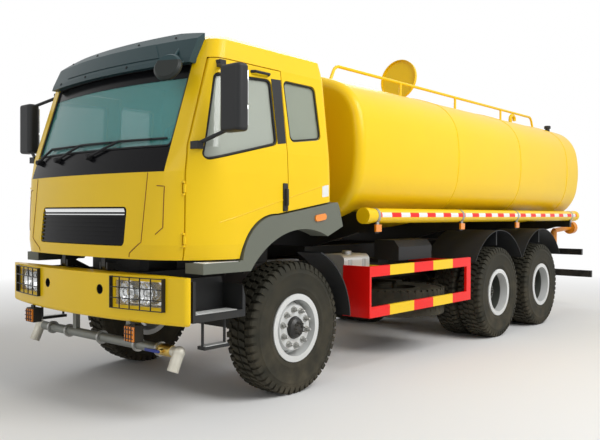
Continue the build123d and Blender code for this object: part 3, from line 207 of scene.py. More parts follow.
def tube(bm, path, radius, sides=10, closed=False):
    """Adds a round tube along a path of points."""
    points = [Vector(p) for p in path]
    count = len(points)
    turns = [tau * step / sides for step in range(sides)]
    rings = []
    across = None
    for index, point in enumerate(points):
        before = points[index - 1] if index or closed else point
        after = points[(index + 1) % count] if index < count - 1 or closed else point
        along = (after - before).normalized()
        if across is None:
            across = basis(along)[0]
        across = (across - along * across.dot(along)).normalized()
        up = along.cross(across)
        rings.append([bm.verts.new(point + (across * cos(a) + up * sin(a)) * radius) for a in turns])
    pairs = list(zip(rings, rings[1:]))
    if closed:
        pairs.append((rings[-1], rings[0]))
    for first, second in pairs:
        for step in range(sides):
            ahead = (step + 1) % sides
            bm.faces.new((first[step], first[ahead], second[ahead], second[step]))
    if not closed:
        bm.faces.new(rings[0])
        bm.faces.new(rings[-1])


def prism(bm, outline, depth):
    """Adds a straight prism from an outline of points along a depth vector."""
    low = [bm.verts.new(Vector(p)) for p in outline]
    high = [bm.verts.new(Vector(p) + Vector(depth)) for p in outline]
    bm.faces.new(low)
    bm.faces.new(high)
    for index in range(len(low)):
        ahead = (index + 1) % len(low)
        bm.faces.new((low[index], low[ahead], high[ahead], high[index]))


def soften(bm, made, offset, segments):
    """Rounds the edges of a box just made."""
    edges = list({edge for vert in made["verts"] for edge in vert.link_edges})
    bmesh.ops.bevel(bm, geom=edges, offset=offset, segments=segments, affect="EDGES", profile=0.5)


def soft_box(bm, low, high, bevel=0.004, segments=2):
    """Adds a box with rounded edges between two corners."""
    low, high = Vector(low), Vector(high)
    size = high - low
    place = Matrix.Translation((low + high) / 2) @ Matrix.Diagonal((*size, 1))
    made = bmesh.ops.create_cube(bm, size=1, matrix=place)
    soften(bm, made, min(bevel, min(size) * 0.45), segments)


def closed_up(bm):
    """Turns all faces of closed shells outwards."""
    bmesh.ops.recalc_face_normals(bm, faces=bm.faces)
    return bm


def skin(*nodes):
    """Search tree over the surfaces of CAD nodes."""
    verts, faces = [], []
    for node in nodes:
        mesh = NODES[node].data
        start = len(verts)
        verts += [v.co.copy() for v in mesh.vertices]
        faces += [[start + i for i in face.vertices] for face in mesh.polygons]
    return BVHTree.FromPolygons(verts, faces)


def hit(tree, origin, direction):
    """Point on a skin that a ray meets."""
    place = tree.ray_cast(Vector(origin), Vector(direction).normalized())[0]
    if place is None:
        raise RuntimeError(f"no surface from {origin} along {direction}")
    return place


def on_front(tree, x, z):
    """Point on a skin that shows from straight ahead of the truck."""
    return hit(tree, (x, AHEAD, z), (0, 1, 0))


def on_side(tree, sign, distance, z):
    """Point on a skin that shows from a side, at a distance behind the front axle."""
    return hit(tree, (sign * ASIDE, aft(distance), z), (-sign, 0, 0))


def rectangle(x0, x1, z0, z1):
    """Four corners of an upright rectangle, in order round it."""
    return ((x0, z0), (x1, z0), (x1, z1), (x0, z1))


def rounded(corners, radius, steps=5):
    """Closed outline in 2D with its corners rounded."""
    points = []
    count = len(corners)
    for index in range(count):
        here = Vector(corners[index])
        back = (Vector(corners[index - 1]) - here).normalized()
        ahead = (Vector(corners[(index + 1) % count]) - here).normalized()
        reach = radius / tan(back.angle(ahead) / 2)
        for step in range(steps + 1):
            t = step / steps
            points.append(here + back * reach * (1 - t) ** 2 + ahead * reach * t**2)
    return points


def spread(points, gap):
    """Closed outline with no two neighbours further apart than a gap."""
    dense = []
    for index, point in enumerate(points):
        ahead = points[(index + 1) % len(points)]
        steps = max(1, int((ahead - point).length / gap))
        dense += [point.lerp(ahead, step / steps) for step in range(steps)]
    return dense


def spans(corners, columns, rows):
    """Grid of 2D points between four corners, row by row."""
    low_a, low_b, high_b, high_a = (Vector(corner) for corner in corners)
    grid = []
    for row in range(rows + 1):
        start, end = low_a.lerp(high_a, row / rows), low_b.lerp(high_b, row / rows)
        grid.append([start.lerp(end, column / columns) for column in range(columns + 1)])
    return grid


def drape(bm, tree, grid, side=0, lift=0.0, thick=0.004):
    """Adds a thin sheet on a skin, by (x, z) points from ahead or (distance aft, z) points from a side."""
    ray = Vector((-side, 0, 0)) if side else Vector((0, 1, 0))
    outer, inner = [], []
    for row in grid:
        spots = [on_side(tree, side, p.x, p.y) if side else on_front(tree, p.x, p.y) for p in row]
        outer.append([bm.verts.new(spot - ray * (lift + thick)) for spot in spots])
        inner.append([bm.verts.new(spot - ray * lift) for spot in spots])
    rows, columns = len(grid) - 1, len(grid[0]) - 1
    for sheet in (outer, inner):
        for r in range(rows):
            for c in range(columns):
                bm.faces.new((sheet[r][c], sheet[r][c + 1], sheet[r + 1][c + 1], sheet[r + 1][c]))
    border = [(0, c) for c in range(columns)] + [(r, columns) for r in range(rows)]
    border += [(rows, c) for c in range(columns, 0, -1)] + [(r, 0) for r in range(rows, 0, -1)]
    for (r, c), (r_next, c_next) in zip(border, border[1:] + border[:1]):
        bm.faces.new((outer[r][c], outer[r_next][c_next], inner[r_next][c_next], inner[r][c]))


# Node helpers

def coordinates(tree):
    """Separate X, Y and Z of the object's own coordinates."""
    place = tree.nodes.new("ShaderNodeTexCoord")
    split = tree.nodes.new("ShaderNodeSeparateXYZ")
    tree.links.new(place.outputs["Object"], split.inputs[0])
    return split.outputs


def feed(tree, value, socket):
    """Links a socket to another one, or sets it to a plain value or colour."""
    if isinstance(value, bpy.types.NodeSocket):
        tree.links.new(value, socket)
    else:
        socket.default_value = (*value, 1) if isinstance(value, tuple) else value


def math(tree, operation, first, second=0.0, clamp=False):
    """Math node on sockets or plain values."""
    node = tree.nodes.new("ShaderNodeMath")
    node.operation = operation
    node.use_clamp = clamp
    for socket, value in zip(node.inputs, (first, second)):
        feed(tree, value, socket)
    return node.outputs[0]


def ramp(tree, value, low, high, start=0.0, end=1.0):
    """Value that goes from start to end while another goes from low to high."""
    node = tree.nodes.new("ShaderNodeMapRange")
    levels = {"Value": value, "From Min": low, "From Max": high, "To Min": start, "To Max": end}
    for label, level in levels.items():
        feed(tree, level, node.inputs[label])
    return node.outputs[0]


def choose(tree, mask, low, high):
    """Colour that is low where a mask is 0 and high where it is 1."""
    mix = tree.nodes.new("ShaderNodeMix")
    mix.data_type = "RGBA"
    for label, value in (("Factor", mask), ("A", low), ("B", high)):
        feed(tree, value, mix.inputs[label])
    return mix.outputs["Result"]


def between(tree, value, low, high):
    """Mask that is 1 between two limits."""
    above = math(tree, "GREATER_THAN", value, low)
    return math(tree, "MULTIPLY", above, math(tree, "LESS_THAN", value, high))


# Geometry node trees for what repeats

def new_tree(name, inputs):
    """Geometry node tree with named inputs, its input and output nodes."""
    tree = bpy.data.node_groups.new(name, "GeometryNodeTree")
    tree.is_modifier = True
    socket = tree.interface.new_socket
    socket("Geometry", in_out="INPUT", socket_type="NodeSocketGeometry")
    for label, kind in inputs:
        socket(label, in_out="INPUT", socket_type=kind)
    socket("Geometry", in_out="OUTPUT", socket_type="NodeSocketGeometry")
    return tree, tree.nodes.new("NodeGroupInput"), tree.nodes.new("NodeGroupOutput")


def realized(tree, instances, finish, outlet):
    """Ends a tree: instances made real, with a finish."""
    real = tree.nodes.new("GeometryNodeRealizeInstances")
    paint = tree.nodes.new("GeometryNodeSetMaterial")
    tree.links.new(instances, real.inputs["Geometry"])
    tree.links.new(real.outputs["Geometry"], paint.inputs["Geometry"])
    tree.links.new(finish, paint.inputs["Material"])
    tree.links.new(paint.outputs["Geometry"], outlet.inputs["Geometry"])


def ring_tree():
    """Tree that repeats its mesh round an axle along X."""
    tree, inlet, outlet = new_tree("Ring of pieces", (
        ("Count", "NodeSocketInt"), ("Phase", "NodeSocketFloat"), ("Centre", "NodeSocketVector"),
        ("Finish", "NodeSocketMaterial")))
    new, link = tree.nodes.new, tree.links.new
    points = new("GeometryNodePoints")
    link(inlet.outputs["Count"], points.inputs["Count"])
    link(inlet.outputs["Centre"], points.inputs["Position"])
    step = math(tree, "DIVIDE", tau, inlet.outputs["Count"])
    turned = math(tree, "MULTIPLY", new("GeometryNodeInputIndex").outputs[0], step)
    angles = new("ShaderNodeCombineXYZ")
    link(math(tree, "ADD", turned, inlet.outputs["Phase"]), angles.inputs["X"])
    rotation = new("FunctionNodeEulerToRotation")
    link(angles.outputs[0], rotation.inputs[0])
    place = new("GeometryNodeInstanceOnPoints")
    link(points.outputs[0], place.inputs["Points"])
    link(inlet.outputs["Geometry"], place.inputs["Instance"])
    link(rotation.outputs[0], place.inputs["Rotation"])
    realized(tree, place.outputs["Instances"], inlet.outputs["Finish"], outlet)
    return tree


def stud_tree():
    """Tree that sets a hexagon bolt on every point, along the point's facing."""
    tree, inlet, outlet = new_tree("Bolts on points", (
        ("Radius", "NodeSocketFloat"), ("Finish", "NodeSocketMaterial")))
    new, link = tree.nodes.new, tree.links.new
    facing = new("GeometryNodeInputNamedAttribute")
    facing.data_type = "FLOAT_VECTOR"
    facing.inputs["Name"].default_value = "facing"
    align = new("FunctionNodeAlignRotationToVector")
    align.axis = "Z"
    link(facing.outputs[0], align.inputs["Vector"])
    join = new("GeometryNodeJoinGeometry")
    for sides, width, height in ((16, 1.45, 0.3), (6, 1.0, 1.1)):
        part = new("GeometryNodeMeshCylinder")
        part.inputs["Vertices"].default_value = sides
        for label, share in (("Radius", width), ("Depth", height)):
            link(math(tree, "MULTIPLY", inlet.outputs["Radius"], share), part.inputs[label])
        link(part.outputs["Mesh"], join.inputs[0])
    place = new("GeometryNodeInstanceOnPoints")
    link(inlet.outputs["Geometry"], place.inputs["Points"])
    link(join.outputs[0], place.inputs["Instance"])
    link(align.outputs[0], place.inputs["Rotation"])
    realized(tree, place.outputs["Instances"], inlet.outputs["Finish"], outlet)
    return tree


def grown(name, tree, seed, inputs):
    """Plain mesh object that a tree grows from a seed mesh."""
    obj = bpy.data.objects.new(name, seed)
    bpy.context.scene.collection.objects.link(obj)
    modifier = obj.modifiers.new("Grow", "NODES")
    modifier.node_group = tree
    for socket in tree.interface.items_tree:
        if socket.in_out == "INPUT" and socket.name in inputs:
            modifier[socket.identifier] = inputs[socket.name]
    depsgraph = bpy.context.evaluated_depsgraph_get()
    mesh = bpy.data.meshes.new_from_object(obj.evaluated_get(depsgraph))
    obj.modifiers.clear()
    obj.data = mesh
    return obj


def bolts(name, places, body, finish, radius):
    """Bolts on a list of (point, facing) places."""
    seed = bpy.data.meshes.new(name + "_points")
    seed.from_pydata([tuple(point) for point, _ in places], [], [])
    facing = seed.attributes.new("facing", "FLOAT_VECTOR", "POINT")
    for index, (_, direction) in enumerate(places):
        facing.data[index].vector = direction
    obj = grown(name, TREES["studs"], seed, {"Radius": radius, "Finish": finish})
    dress(obj, body, finish)
    return obj


def ringed(bm, name, count, phase, hub, body, finish, smooth_angle=35.0):
    """Piece of equal shapes round an axle, from a bmesh of one of them."""
    seed = bpy.data.meshes.new(name + "_seed")
    closed_up(bm).to_mesh(seed)
    bm.free()
    made = grown(name, TREES["ring"], seed, {"Count": count, "Phase": phase, "Centre": hub, "Finish": finish})
    dress(made, body, finish, smooth_angle)


TREES = {}
FINISH = {}


# Shader groups that several finishes share

def new_group(name, inputs, outputs):
    """Shader node group with named sockets, its input and output nodes."""
    group = bpy.data.node_groups.new(name, "ShaderNodeTree")
    for label, kind, value in inputs:
        made = group.interface.new_socket(label, in_out="INPUT", socket_type=kind)
        if value is not None:
            made.default_value = value
    for label, kind in outputs:
        group.interface.new_socket(label, in_out="OUTPUT", socket_type=kind)
    return group, group.nodes.new("NodeGroupInput"), group.nodes.new("NodeGroupOutput")


def object_noise(group, detail, inlet):
    """Noise over the object's own coordinates, at the scale that a group's input gives."""
    noise = group.nodes.new("ShaderNodeTexNoise")
    noise.inputs["Detail"].default_value = detail
    place = group.nodes.new("ShaderNodeTexCoord")
    group.links.new(place.outputs["Object"], noise.inputs["Vector"])
    group.links.new(inlet.outputs["Scale"], noise.inputs["Scale"])
    return noise.outputs["Fac"]


def road_film_group():
    """Dust that gathers towards the road, broken up by noise."""
    group, inlet, outlet = new_group(
        "Road film",
        (("Colour", "NodeSocketColor", (0.5, 0.5, 0.5, 1)), ("Dust", "NodeSocketColor", (0.2, 0.17, 0.12, 1)),
         ("Amount", "NodeSocketFloat", 0.4), ("Top", "NodeSocketFloat", 1.2),
         ("Scale", "NodeSocketFloat", 6.0)),
        (("Colour", "NodeSocketColor"), ("Mask", "NodeSocketFloat")))
    given, link = inlet.outputs, group.links.new
    height = ramp(group, coordinates(group)["Z"], 0.0, given["Top"], 1.0, 0.0)
    patches = ramp(group, object_noise(group, 6.0, inlet), 0.35, 0.7)
    mask = math(group, "MULTIPLY", math(group, "MULTIPLY", height, patches), given["Amount"])
    link(choose(group, mask, given["Colour"], given["Dust"]), outlet.inputs["Colour"])
    link(mask, outlet.inputs["Mask"])
    return group


def mottle_group():
    """Slow change of a colour over the surface, and a roughness that goes with it."""
    group, inlet, outlet = new_group(
        "Mottle",
        (("Colour", "NodeSocketColor", (0.5, 0.5, 0.5, 1)), ("Amount", "NodeSocketFloat", 0.1),
         ("Scale", "NodeSocketFloat", 3.0), ("Rough", "NodeSocketFloat", 0.3)),
        (("Colour", "NodeSocketColor"), ("Rough", "NodeSocketFloat")))
    new, link = group.nodes.new, group.links.new
    centred = math(group, "SUBTRACT", object_noise(group, 4.0, inlet), 0.5)
    swing = math(group, "MULTIPLY", centred, inlet.outputs["Amount"])
    tone = new("ShaderNodeHueSaturation")
    link(math(group, "ADD", swing, 1.0), tone.inputs["Value"])
    link(inlet.outputs["Colour"], tone.inputs["Color"])
    link(tone.outputs[0], outlet.inputs["Colour"])
    link(math(group, "ADD", swing, inlet.outputs["Rough"], clamp=True), outlet.inputs["Rough"])
    return group


def grain_group():
    """Fine bump of a moulded, cast or sprayed surface."""
    group, inlet, outlet = new_group(
        "Grain",
        (("Scale", "NodeSocketFloat", 300.0), ("Strength", "NodeSocketFloat", 0.1),
         ("Depth", "NodeSocketFloat", 0.001)),
        (("Normal", "NodeSocketVector"),))
    new, link = group.nodes.new, group.links.new
    bump = new("ShaderNodeBump")
    link(object_noise(group, 3.0, inlet), bump.inputs["Height"])
    link(inlet.outputs["Strength"], bump.inputs["Strength"])
    link(inlet.outputs["Depth"], bump.inputs["Distance"])
    link(bump.outputs["Normal"], outlet.inputs["Normal"])
    return group


GROUPS = {}


def use_group(tree, name, **values):
    """Places a shared group in a material with its own values."""
    node = tree.nodes.new("ShaderNodeGroup")
    node.node_tree = GROUPS[name]
    for label, value in values.items():
        node.inputs[label.capitalize()].default_value = value
    return node


def mottled(tree, colour, pattern, **values):
    """Mottle group in a material, fed by a plain colour or by a pattern."""
    tone = use_group(tree, "mottle", **values)
    feed(tree, pattern(tree, colour) if pattern else colour, tone.inputs["Colour"])
    return tone


def bare(name, rough=0.5, metal=0.0, coat=0.0, shine=0.5):
    """New material, its tree and its shader."""
    made = bpy.data.materials.new(name)
    made.use_nodes = True
    shader = made.node_tree.nodes["Principled BSDF"]
    shader.inputs["Roughness"].default_value = rough
    shader.inputs["Metallic"].default_value = metal
    shader.inputs["Coat Weight"].default_value = coat
    shader.inputs["Specular IOR Level"].default_value = shine
    if coat:
        shader.inputs["Coat Roughness"].default_value = 0.06
    return made, made.node_tree, shader


def weathered(name, colour, rough=0.4, metal=0.0, coat=0.0, mottle=0.08, dust=0.3, top=1.2, grain=300.0,
              bump=0.06, pattern=None, shine=0.5):
    """Painted, moulded or cast finish: mottled colour, road film and a fine grain."""
    made, tree, shader = bare(name, rough, metal, coat, shine)
    tone = mottled(tree, colour, pattern, amount=mottle, rough=rough)
    film = use_group(tree, "film", amount=dust, top=top)
    tree.links.new(tone.outputs["Colour"], film.inputs["Colour"])
    tree.links.new(film.outputs["Colour"], shader.inputs["Base Color"])
    rougher = math(tree, "ADD", tone.outputs["Rough"], film.outputs["Mask"], clamp=True)
    tree.links.new(rougher, shader.inputs["Roughness"])
    relief = use_group(tree, "grain", scale=grain, strength=bump)
    tree.links.new(relief.outputs["Normal"], shader.inputs["Normal"])
    return made


def axle_mask(tree, axle, radius):
    """Mask that is 1 within a radius about an axle."""
    _, y, z = coordinates(tree)
    off_y = math(tree, "SUBTRACT", y, axle.y)
    off_z = math(tree, "SUBTRACT", z, axle.z)
    square = math(tree, "ADD", math(tree, "MULTIPLY", off_y, off_y), math(tree, "MULTIPLY", off_z, off_z))
    return math(tree, "LESS_THAN", math(tree, "SQRT", square), radius)


def guard_pattern(tree, colour):
    """Red guards with yellow blocks along their length."""
    y = coordinates(tree)[1]
    first, second = (between(tree, y, aft(start), aft(end)) for start, end in ((1.32, 1.77), (2.16, 2.59)))
    yellow = tuple(bpy.context.scene.tanker_paint.yellow)
    return choose(tree, math(tree, "ADD", first, second), colour, yellow)


def tape_pattern(tree, colour):
    """Yellow tube with a band of red and white blocks on its outer side."""
    pitch = bpy.context.scene.tanker_trim.tape_pitch
    red, white = tuple(bpy.context.scene.tanker_paint.red), (0.8, 0.8, 0.78)
    low_z, high_z, inner_x = LOCKER.z - 0.014, LOCKER.z + 0.032, LOCKER_HIGH.x - 0.03
    start_y, end_y = LOCKER_LOW.y + 0.2, LOCKER_HIGH.y - 0.1
    above_zero = 20.0
    x, y, z = coordinates(tree)
    outside = math(tree, "GREATER_THAN", math(tree, "ABSOLUTE", x), inner_x)
    band = math(tree, "MULTIPLY", between(tree, z, low_z, high_z), outside)
    band = math(tree, "MULTIPLY", band, between(tree, y, start_y, end_y))
    share = math(tree, "FRACT", math(tree, "DIVIDE", math(tree, "ADD", y, above_zero), pitch))
    tape = choose(tree, math(tree, "LESS_THAN", share, 0.5), white, red)
    return choose(tree, band, colour, tape)


def front_wheel_pattern(tree, colour):
    """Silver disc with a dark hub."""
    hub_radius = 0.097
    return choose(tree, axle_mask(tree, FRONT_AXLE, hub_radius), colour, (0.02, 0.02, 0.02))


def rear_wheel_pattern(tree, colour):
    """Silver rim flange and outer barrel, with painted shade: the deep dish inside the barrel is coloured
    dark grey-green.
    """
    barrel_radius, dish_x = 0.25, 1.14
    first, second = (axle_mask(tree, axle, barrel_radius) for axle in (MID_AXLE, REAR_AXLE))
    deep = math(tree, "LESS_THAN", math(tree, "ABSOLUTE", coordinates(tree)[0]), dish_x)
    dish = math(tree, "MULTIPLY", math(tree, "ADD", first, second), deep)
    # painted shade: dark grey-green on the deep dish of each rear wheel
    return choose(tree, dish, colour, (0.06, 0.068, 0.06))


def bar_pattern(tree, colour):
    """Galvanised bar with pale sleeves at its two turned-down ends."""
    sleeve_x = 0.93
    sleeve = math(tree, "GREATER_THAN", math(tree, "ABSOLUTE", coordinates(tree)[0]), sleeve_x)
    return choose(tree, sleeve, colour, (0.62, 0.6, 0.52))


def visor_pattern(tree, colour):
    """Slate visor with a black round mirror below its left end."""
    mirror_x, mirror_top_z = 0.79, 2.675
    x, _, z = coordinates(tree)
    left = math(tree, "GREATER_THAN", x, mirror_x)
    mirror = math(tree, "MULTIPLY", left, math(tree, "LESS_THAN", z, mirror_top_z))
    return choose(tree, mirror, colour, (0.02, 0.024, 0.022))


def cab_pane_pattern(tree, colour):
    """Green windscreen with paler panes behind the doors."""
    rear_panes_y = aft(-0.3)
    rear = math(tree, "GREATER_THAN", coordinates(tree)[1], rear_panes_y)
    return choose(tree, rear, colour, (0.42, 0.47, 0.38))


def pane(name, tint, alpha, pattern=None):
    """Tinted glass that lets light through."""
    rough = 0.03
    made, tree, shader = bare(name, rough, shine=0.6)
    tone = mottled(tree, tint, pattern, amount=0.05, rough=rough, scale=1.5)
    tree.links.new(tone.outputs["Colour"], shader.inputs["Base Color"])
    shader.inputs["Alpha"].default_value = alpha
    return made


def make_finishes(paint):
    """All finishes of the truck, by name."""
    yellow, black, silver = tuple(paint.yellow), tuple(paint.black), tuple(paint.silver)
    rubber = tuple(paint.rubber)
    return {
        "yellow": weathered("Yellow paint", yellow, 0.36, coat=0.1, mottle=0.05, dust=0.12, bump=0.02,
                            shine=0.3),
        "slate": weathered("Slate paint", tuple(paint.slate), 0.4, dust=0.0, shine=0.2,
                           pattern=visor_pattern),
        "grey": weathered("Grey moulding", tuple(paint.grey), 0.55, dust=0.25, top=1.0, bump=0.2,
                          grain=700.0),
        "black": weathered("Black frame paint", black, 0.42, mottle=0.2, dust=0.3, top=1.1, shine=0.3),
        "moulded": weathered("Black moulding", (0.016, 0.017, 0.018), 0.5, dust=0.15, bump=0.15, grain=600.0,
                             shine=0.3),
        "gloss_black": weathered("Gloss black", (0.005, 0.005, 0.006), 0.22, coat=0.03, dust=0.0, bump=0.01,
                                 shine=0.08),
        "seal": weathered("Rubber seal", (0.01, 0.01, 0.011), 0.6, dust=0.0, bump=0.1, grain=500.0,
                          shine=0.25),
        # dark orange-brown: the front panel's seams are dark joints, the lines along its corner recesses are
        # painted shade
        "seam": weathered("Panel seam and recess shade", (0.2, 0.06, 0.004), 0.7, dust=0.0),
        "iron": weathered("Cast iron", (0.03, 0.03, 0.029), 0.62, metal=0.3, mottle=0.4, dust=0.4, bump=0.4,
                          grain=120.0),
        "cloth": weathered("Cushion cloth", (0.1, 0.115, 0.125), 0.9, dust=0.0, bump=0.4, grain=900.0),
        "galvanised": weathered("Galvanised pipe", (0.24, 0.25, 0.23), 0.45, metal=0.6, mottle=0.35, dust=0.3,
                                grain=60.0, pattern=bar_pattern),
        "alloy": weathered("Tank alloy", (0.62, 0.63, 0.61), 0.35, metal=0.55, mottle=0.15, dust=0.15),
        "zinc": weathered("Zinc bolts", (0.4, 0.4, 0.38), 0.4, metal=0.8, mottle=0.3, dust=0.1),
        "brass": weathered("Brass valve", (0.6, 0.42, 0.12), 0.3, metal=1.0, dust=0.0),
        "blue": weathered("Blue handle", (0.01, 0.03, 0.25), 0.4, dust=0.0),
        "guard": weathered("Striped guard", tuple(paint.red), 0.32, coat=0.1, mottle=0.05, dust=0.0,
                           shine=0.3, pattern=guard_pattern),
        "locker": weathered("Taped tube", yellow, 0.34, coat=0.1, mottle=0.05, dust=0.0, pattern=tape_pattern,
                            shine=0.3),
        "orange": weathered("Orange pipework", (0.72, 0.25, 0.01), 0.4, coat=0.2, mottle=0.15, dust=0.1),
        "front_wheel": weathered("Front wheel paint", silver, 0.34, metal=0.15, mottle=0.1, dust=0.25,
                                 top=0.9, pattern=front_wheel_pattern),
        "rear_wheel": weathered("Rear wheel paint and dish shade", silver, 0.36, metal=0.15, mottle=0.15, dust=0.25, top=0.9,
                                pattern=rear_wheel_pattern),
        "rubber": weathered("Tyre rubber", rubber, 0.72, mottle=0.25, dust=0.35, top=1.3, bump=0.2,
                            grain=220.0, shine=0.25),
        "chrome": weathered("Bright metal", (0.78, 0.79, 0.79), 0.12, metal=1.0, mottle=0.06, dust=0.0,
                            bump=0.0),
        "mirror": weathered("Mirror glass", (0.75, 0.78, 0.78), 0.04, metal=1.0, mottle=0.02, dust=0.0,
                            bump=0.0),
        "pearl": weathered("Pale lamp", (0.75, 0.76, 0.74), 0.3, coat=0.4, dust=0.0),
        "amber": weathered("Amber lens", tuple(paint.amber), 0.16, coat=0.6, dust=0.0, bump=0.15, grain=90.0),
        "red_lens": weathered("Red lens", (0.45, 0.008, 0.006), 0.16, coat=0.6, dust=0.0, bump=0.15,
                              grain=90.0),
        "screen": pane("Windscreen glass", tuple(paint.glass), 0.5, cab_pane_pattern),
        "side_glass": pane("Side glass", (0.5, 0.54, 0.47), 0.62),
        "lens": pane("Clear lens", (0.75, 0.78, 0.78), 0.22),
    }


NODE_FINISH = {
    "yellow": ("cab_back", "cab_roof", "cab_quarters", "cab_pillars", "cab_front", "door_left", "door_right",
               "bumper", "water_tank", "top_rails", "tank_fittings", "manhole_lid"),
    "slate": ("visor",),
    "grey": ("arch_fairings",),
    "black": ("frame_rails", "crossmembers", "driveline", "leaf_springs", "cab_floor", "air_tanks",
              "lamp_guards", "tank_sills", "tank_saddles"),
    "moulded": ("mudguards", "entry_steps", "battery_box", "mirror_left", "mirror_right", "dashboard"),
    "gloss_black": ("grille", "cowl"),
    "iron": ("axles", "knuckle_left", "knuckle_right"),
    "cloth": ("seats",),
    "screen": ("cab_glass",),
    "side_glass": ("door_glass_left", "door_glass_right"),
    "lens": ("headlamps",),
    "amber": ("marker_lamps", "turn_lamps"),
    "red_lens": ("tail_lamps",),
    "galvanised": ("spray_bar",),
    "alloy": ("fuel_tank",),
    "guard": ("side_guards",),
    "locker": ("hose_lockers",),
    "orange": ("rear_piping",),
    "front_wheel": ("front_rim_left", "front_rim_right"),
    "rear_wheel": ("mid_rims_left", "mid_rims_right", "rear_rims_left", "rear_rims_right"),
    "rubber": ("front_tyre_left", "front_tyre_right", "mid_tyres_left", "mid_tyres_right", "rear_tyres_left",
               "rear_tyres_right", "spare_wheel"),
}


class TANKER_OT_finishes(bpy.types.Operator):
    """Build the shared groups and finishes and put a finish on every solid part"""

    bl_idname = "tanker.finishes"
    bl_label = "Finishes"

    def execute(self, context):
        TREES.update(ring=ring_tree(), studs=stud_tree())
        GROUPS.update(film=road_film_group(), mottle=mottle_group(), grain=grain_group())
        FINISH.update(make_finishes(context.scene.tanker_paint))
        for finish, nodes in NODE_FINISH.items():
            for node in nodes:
                mesh = NODES[node].data
                mesh.materials.clear()
                mesh.materials.append(FINISH[finish])
        return {"FINISHED"}


# Tyres and wheels

def carcass_profile(centre, lug_height):
    """Closed section of a tyre as (place across, radius), with two thin ribs on each sidewall."""
    crown = TYRE_RADIUS - lug_height
    half = ((0.0, crown), (0.1, crown - 0.002), (0.13, crown - 0.008), (0.143, crown - 0.028),
            (0.149, TYRE_RADIUS - 0.075), (0.1525, 0.474), (0.155, 0.471), (0.1553, 0.463), (0.1535, 0.459),
            (0.154, 0.415), (0.1515, 0.37), (0.1475, 0.342), (0.1495, 0.338), (0.147, 0.331), (0.14, 0.308),
            (0.135, 0.297), (0.131, 0.29), (0.131, 0.2545))
    outer = [(centre + u, r) for u, r in half]
    inner = [(centre - u, r) for u, r in half[1:]]
    return list(reversed(inner)) + outer


def tread_pitch(bm, centre, settings):
    """One pitch of tread: shoulder lugs half a pitch apart and two skewed blocks on the crown."""
    top = TYRE_RADIUS - 0.001
    base = top - settings.lug_height - 0.004
    half = settings.lug_width / 2
    shift = pi * TYRE_RADIUS / settings.lug_count
    shoulder = ((0.078, base), (0.078, top), (0.128, top - 0.001), (0.1415, top - 0.012),
                (0.1515, top - 0.058), (0.14, top - 0.062))
    block = ((0.007, base), (0.007, top), (0.068, top), (0.068, base))
    for side, lag in ((1, 0.0), (-1, shift)):
        for section, lean, late in ((shoulder, 0.12, lag), (block, -0.35, lag + shift)):
            outline = [(centre + side * u, late - half + lean * side * (u - 0.07), r) for u, r in section]
            prism(bm, outline, (0, 2 * half, 0))


# Columns: middle of the left wheels, name, tyre node, body
AXLES = ((FRONT_AXLE, "front", "front_tyre", "front_wheel"), (MID_AXLE, "mid", "mid_tyres", "mid_wheels"),
         (REAR_AXLE, "rear", "rear_tyres", "rear_wheels"))


class TANKER_OT_tyres(bpy.types.Operator):
    """Tyres with rounded sidewalls and lugs round the crown"""

    bl_idname = "tanker.tyres"
    bl_label = "Tyres"

    def execute(self, context):
        settings = context.scene.tanker_tyres
        rubber = FINISH["rubber"]
        for side, sign in SIDES:
            for axle, name, node, wheel in AXLES:
                body = f"{wheel}_{side}"
                hub = Vector((0, axle.y, axle.z))
                walls, tread = bmesh.new(), bmesh.new()
                for offset in (0.0,) if name == "front" else (-DUAL_REACH, DUAL_REACH):
                    centre = sign * (axle.x + offset)
                    section = carcass_profile(centre, settings.lug_height)
                    lathe(walls, section, hub, (1, 0, 0), 96, closed=True)
                    tread_pitch(tread, centre, settings)
                tyre = to_piece(closed_up(walls), f"{name}_tyre_{side}", body, rubber, 50)
                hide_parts(f"{node}_{side}")
                ringed(tread, f"{name}_tread_{side}", settings.lug_count, 0.02, hub, body,
                       rubber, 30)
        return {"FINISHED"}


def nut_shape(bm, face_x, sign, circle, radius, height):
    """Wheel nut with its washer and stud end, on a face square to X."""
    spot = Vector((face_x, 0, circle))
    lathe(bm, ((0, radius * 1.5), (0.005, radius * 1.5)), spot, (sign, 0, 0), 14)
    lathe(bm, ((0.005, radius), (height * 0.85, radius), (height, radius * 0.8)), spot, (sign, 0, 0), 6)
    stud = ((height, radius * 0.55), (height + 0.016, radius * 0.55), (height + 0.02, radius * 0.35))
    lathe(bm, stud, spot, (sign, 0, 0), 8)


class TANKER_OT_wheels(bpy.types.Operator):
    """Nuts and hub bolts on the wheels"""

    bl_idname = "tanker.wheels"
    bl_label = "Wheel nuts"

    def execute(self, context):
        settings = context.scene.tanker_tyres
        # Columns: disc face and hub face from the axle's X, height of a nut, radius of the nut circle
        front = (0.115, 0.165, 0.034, settings.nut_circle)
        rear = (0.016, 0.19, 0.04, settings.nut_circle + 0.022)
        for side, sign in SIDES:
            for axle, name, _, wheel in AXLES:
                hub = Vector((0, axle.y, axle.z))
                face, hub_face, height, circle = front if name == "front" else rear
                seeds = (("nuts", settings.nut_count, face, circle, settings.nut_radius, height),
                         ("hub_bolts", 8, hub_face, 0.046, 0.009, 0.01))
                for label, count, reach, ring, radius, tall in seeds:
                    bm = bmesh.new()
                    nut_shape(bm, sign * (axle.x + reach), sign, ring, radius, tall)
                    finish = FINISH["zinc"] if name == "front" and label == "nuts" else FINISH["iron"]
                    ringed(bm, f"{name}_{label}_{side}", count, 0.1, hub, f"{wheel}_{side}",
                           finish)
        return {"FINISHED"}


# Lamps

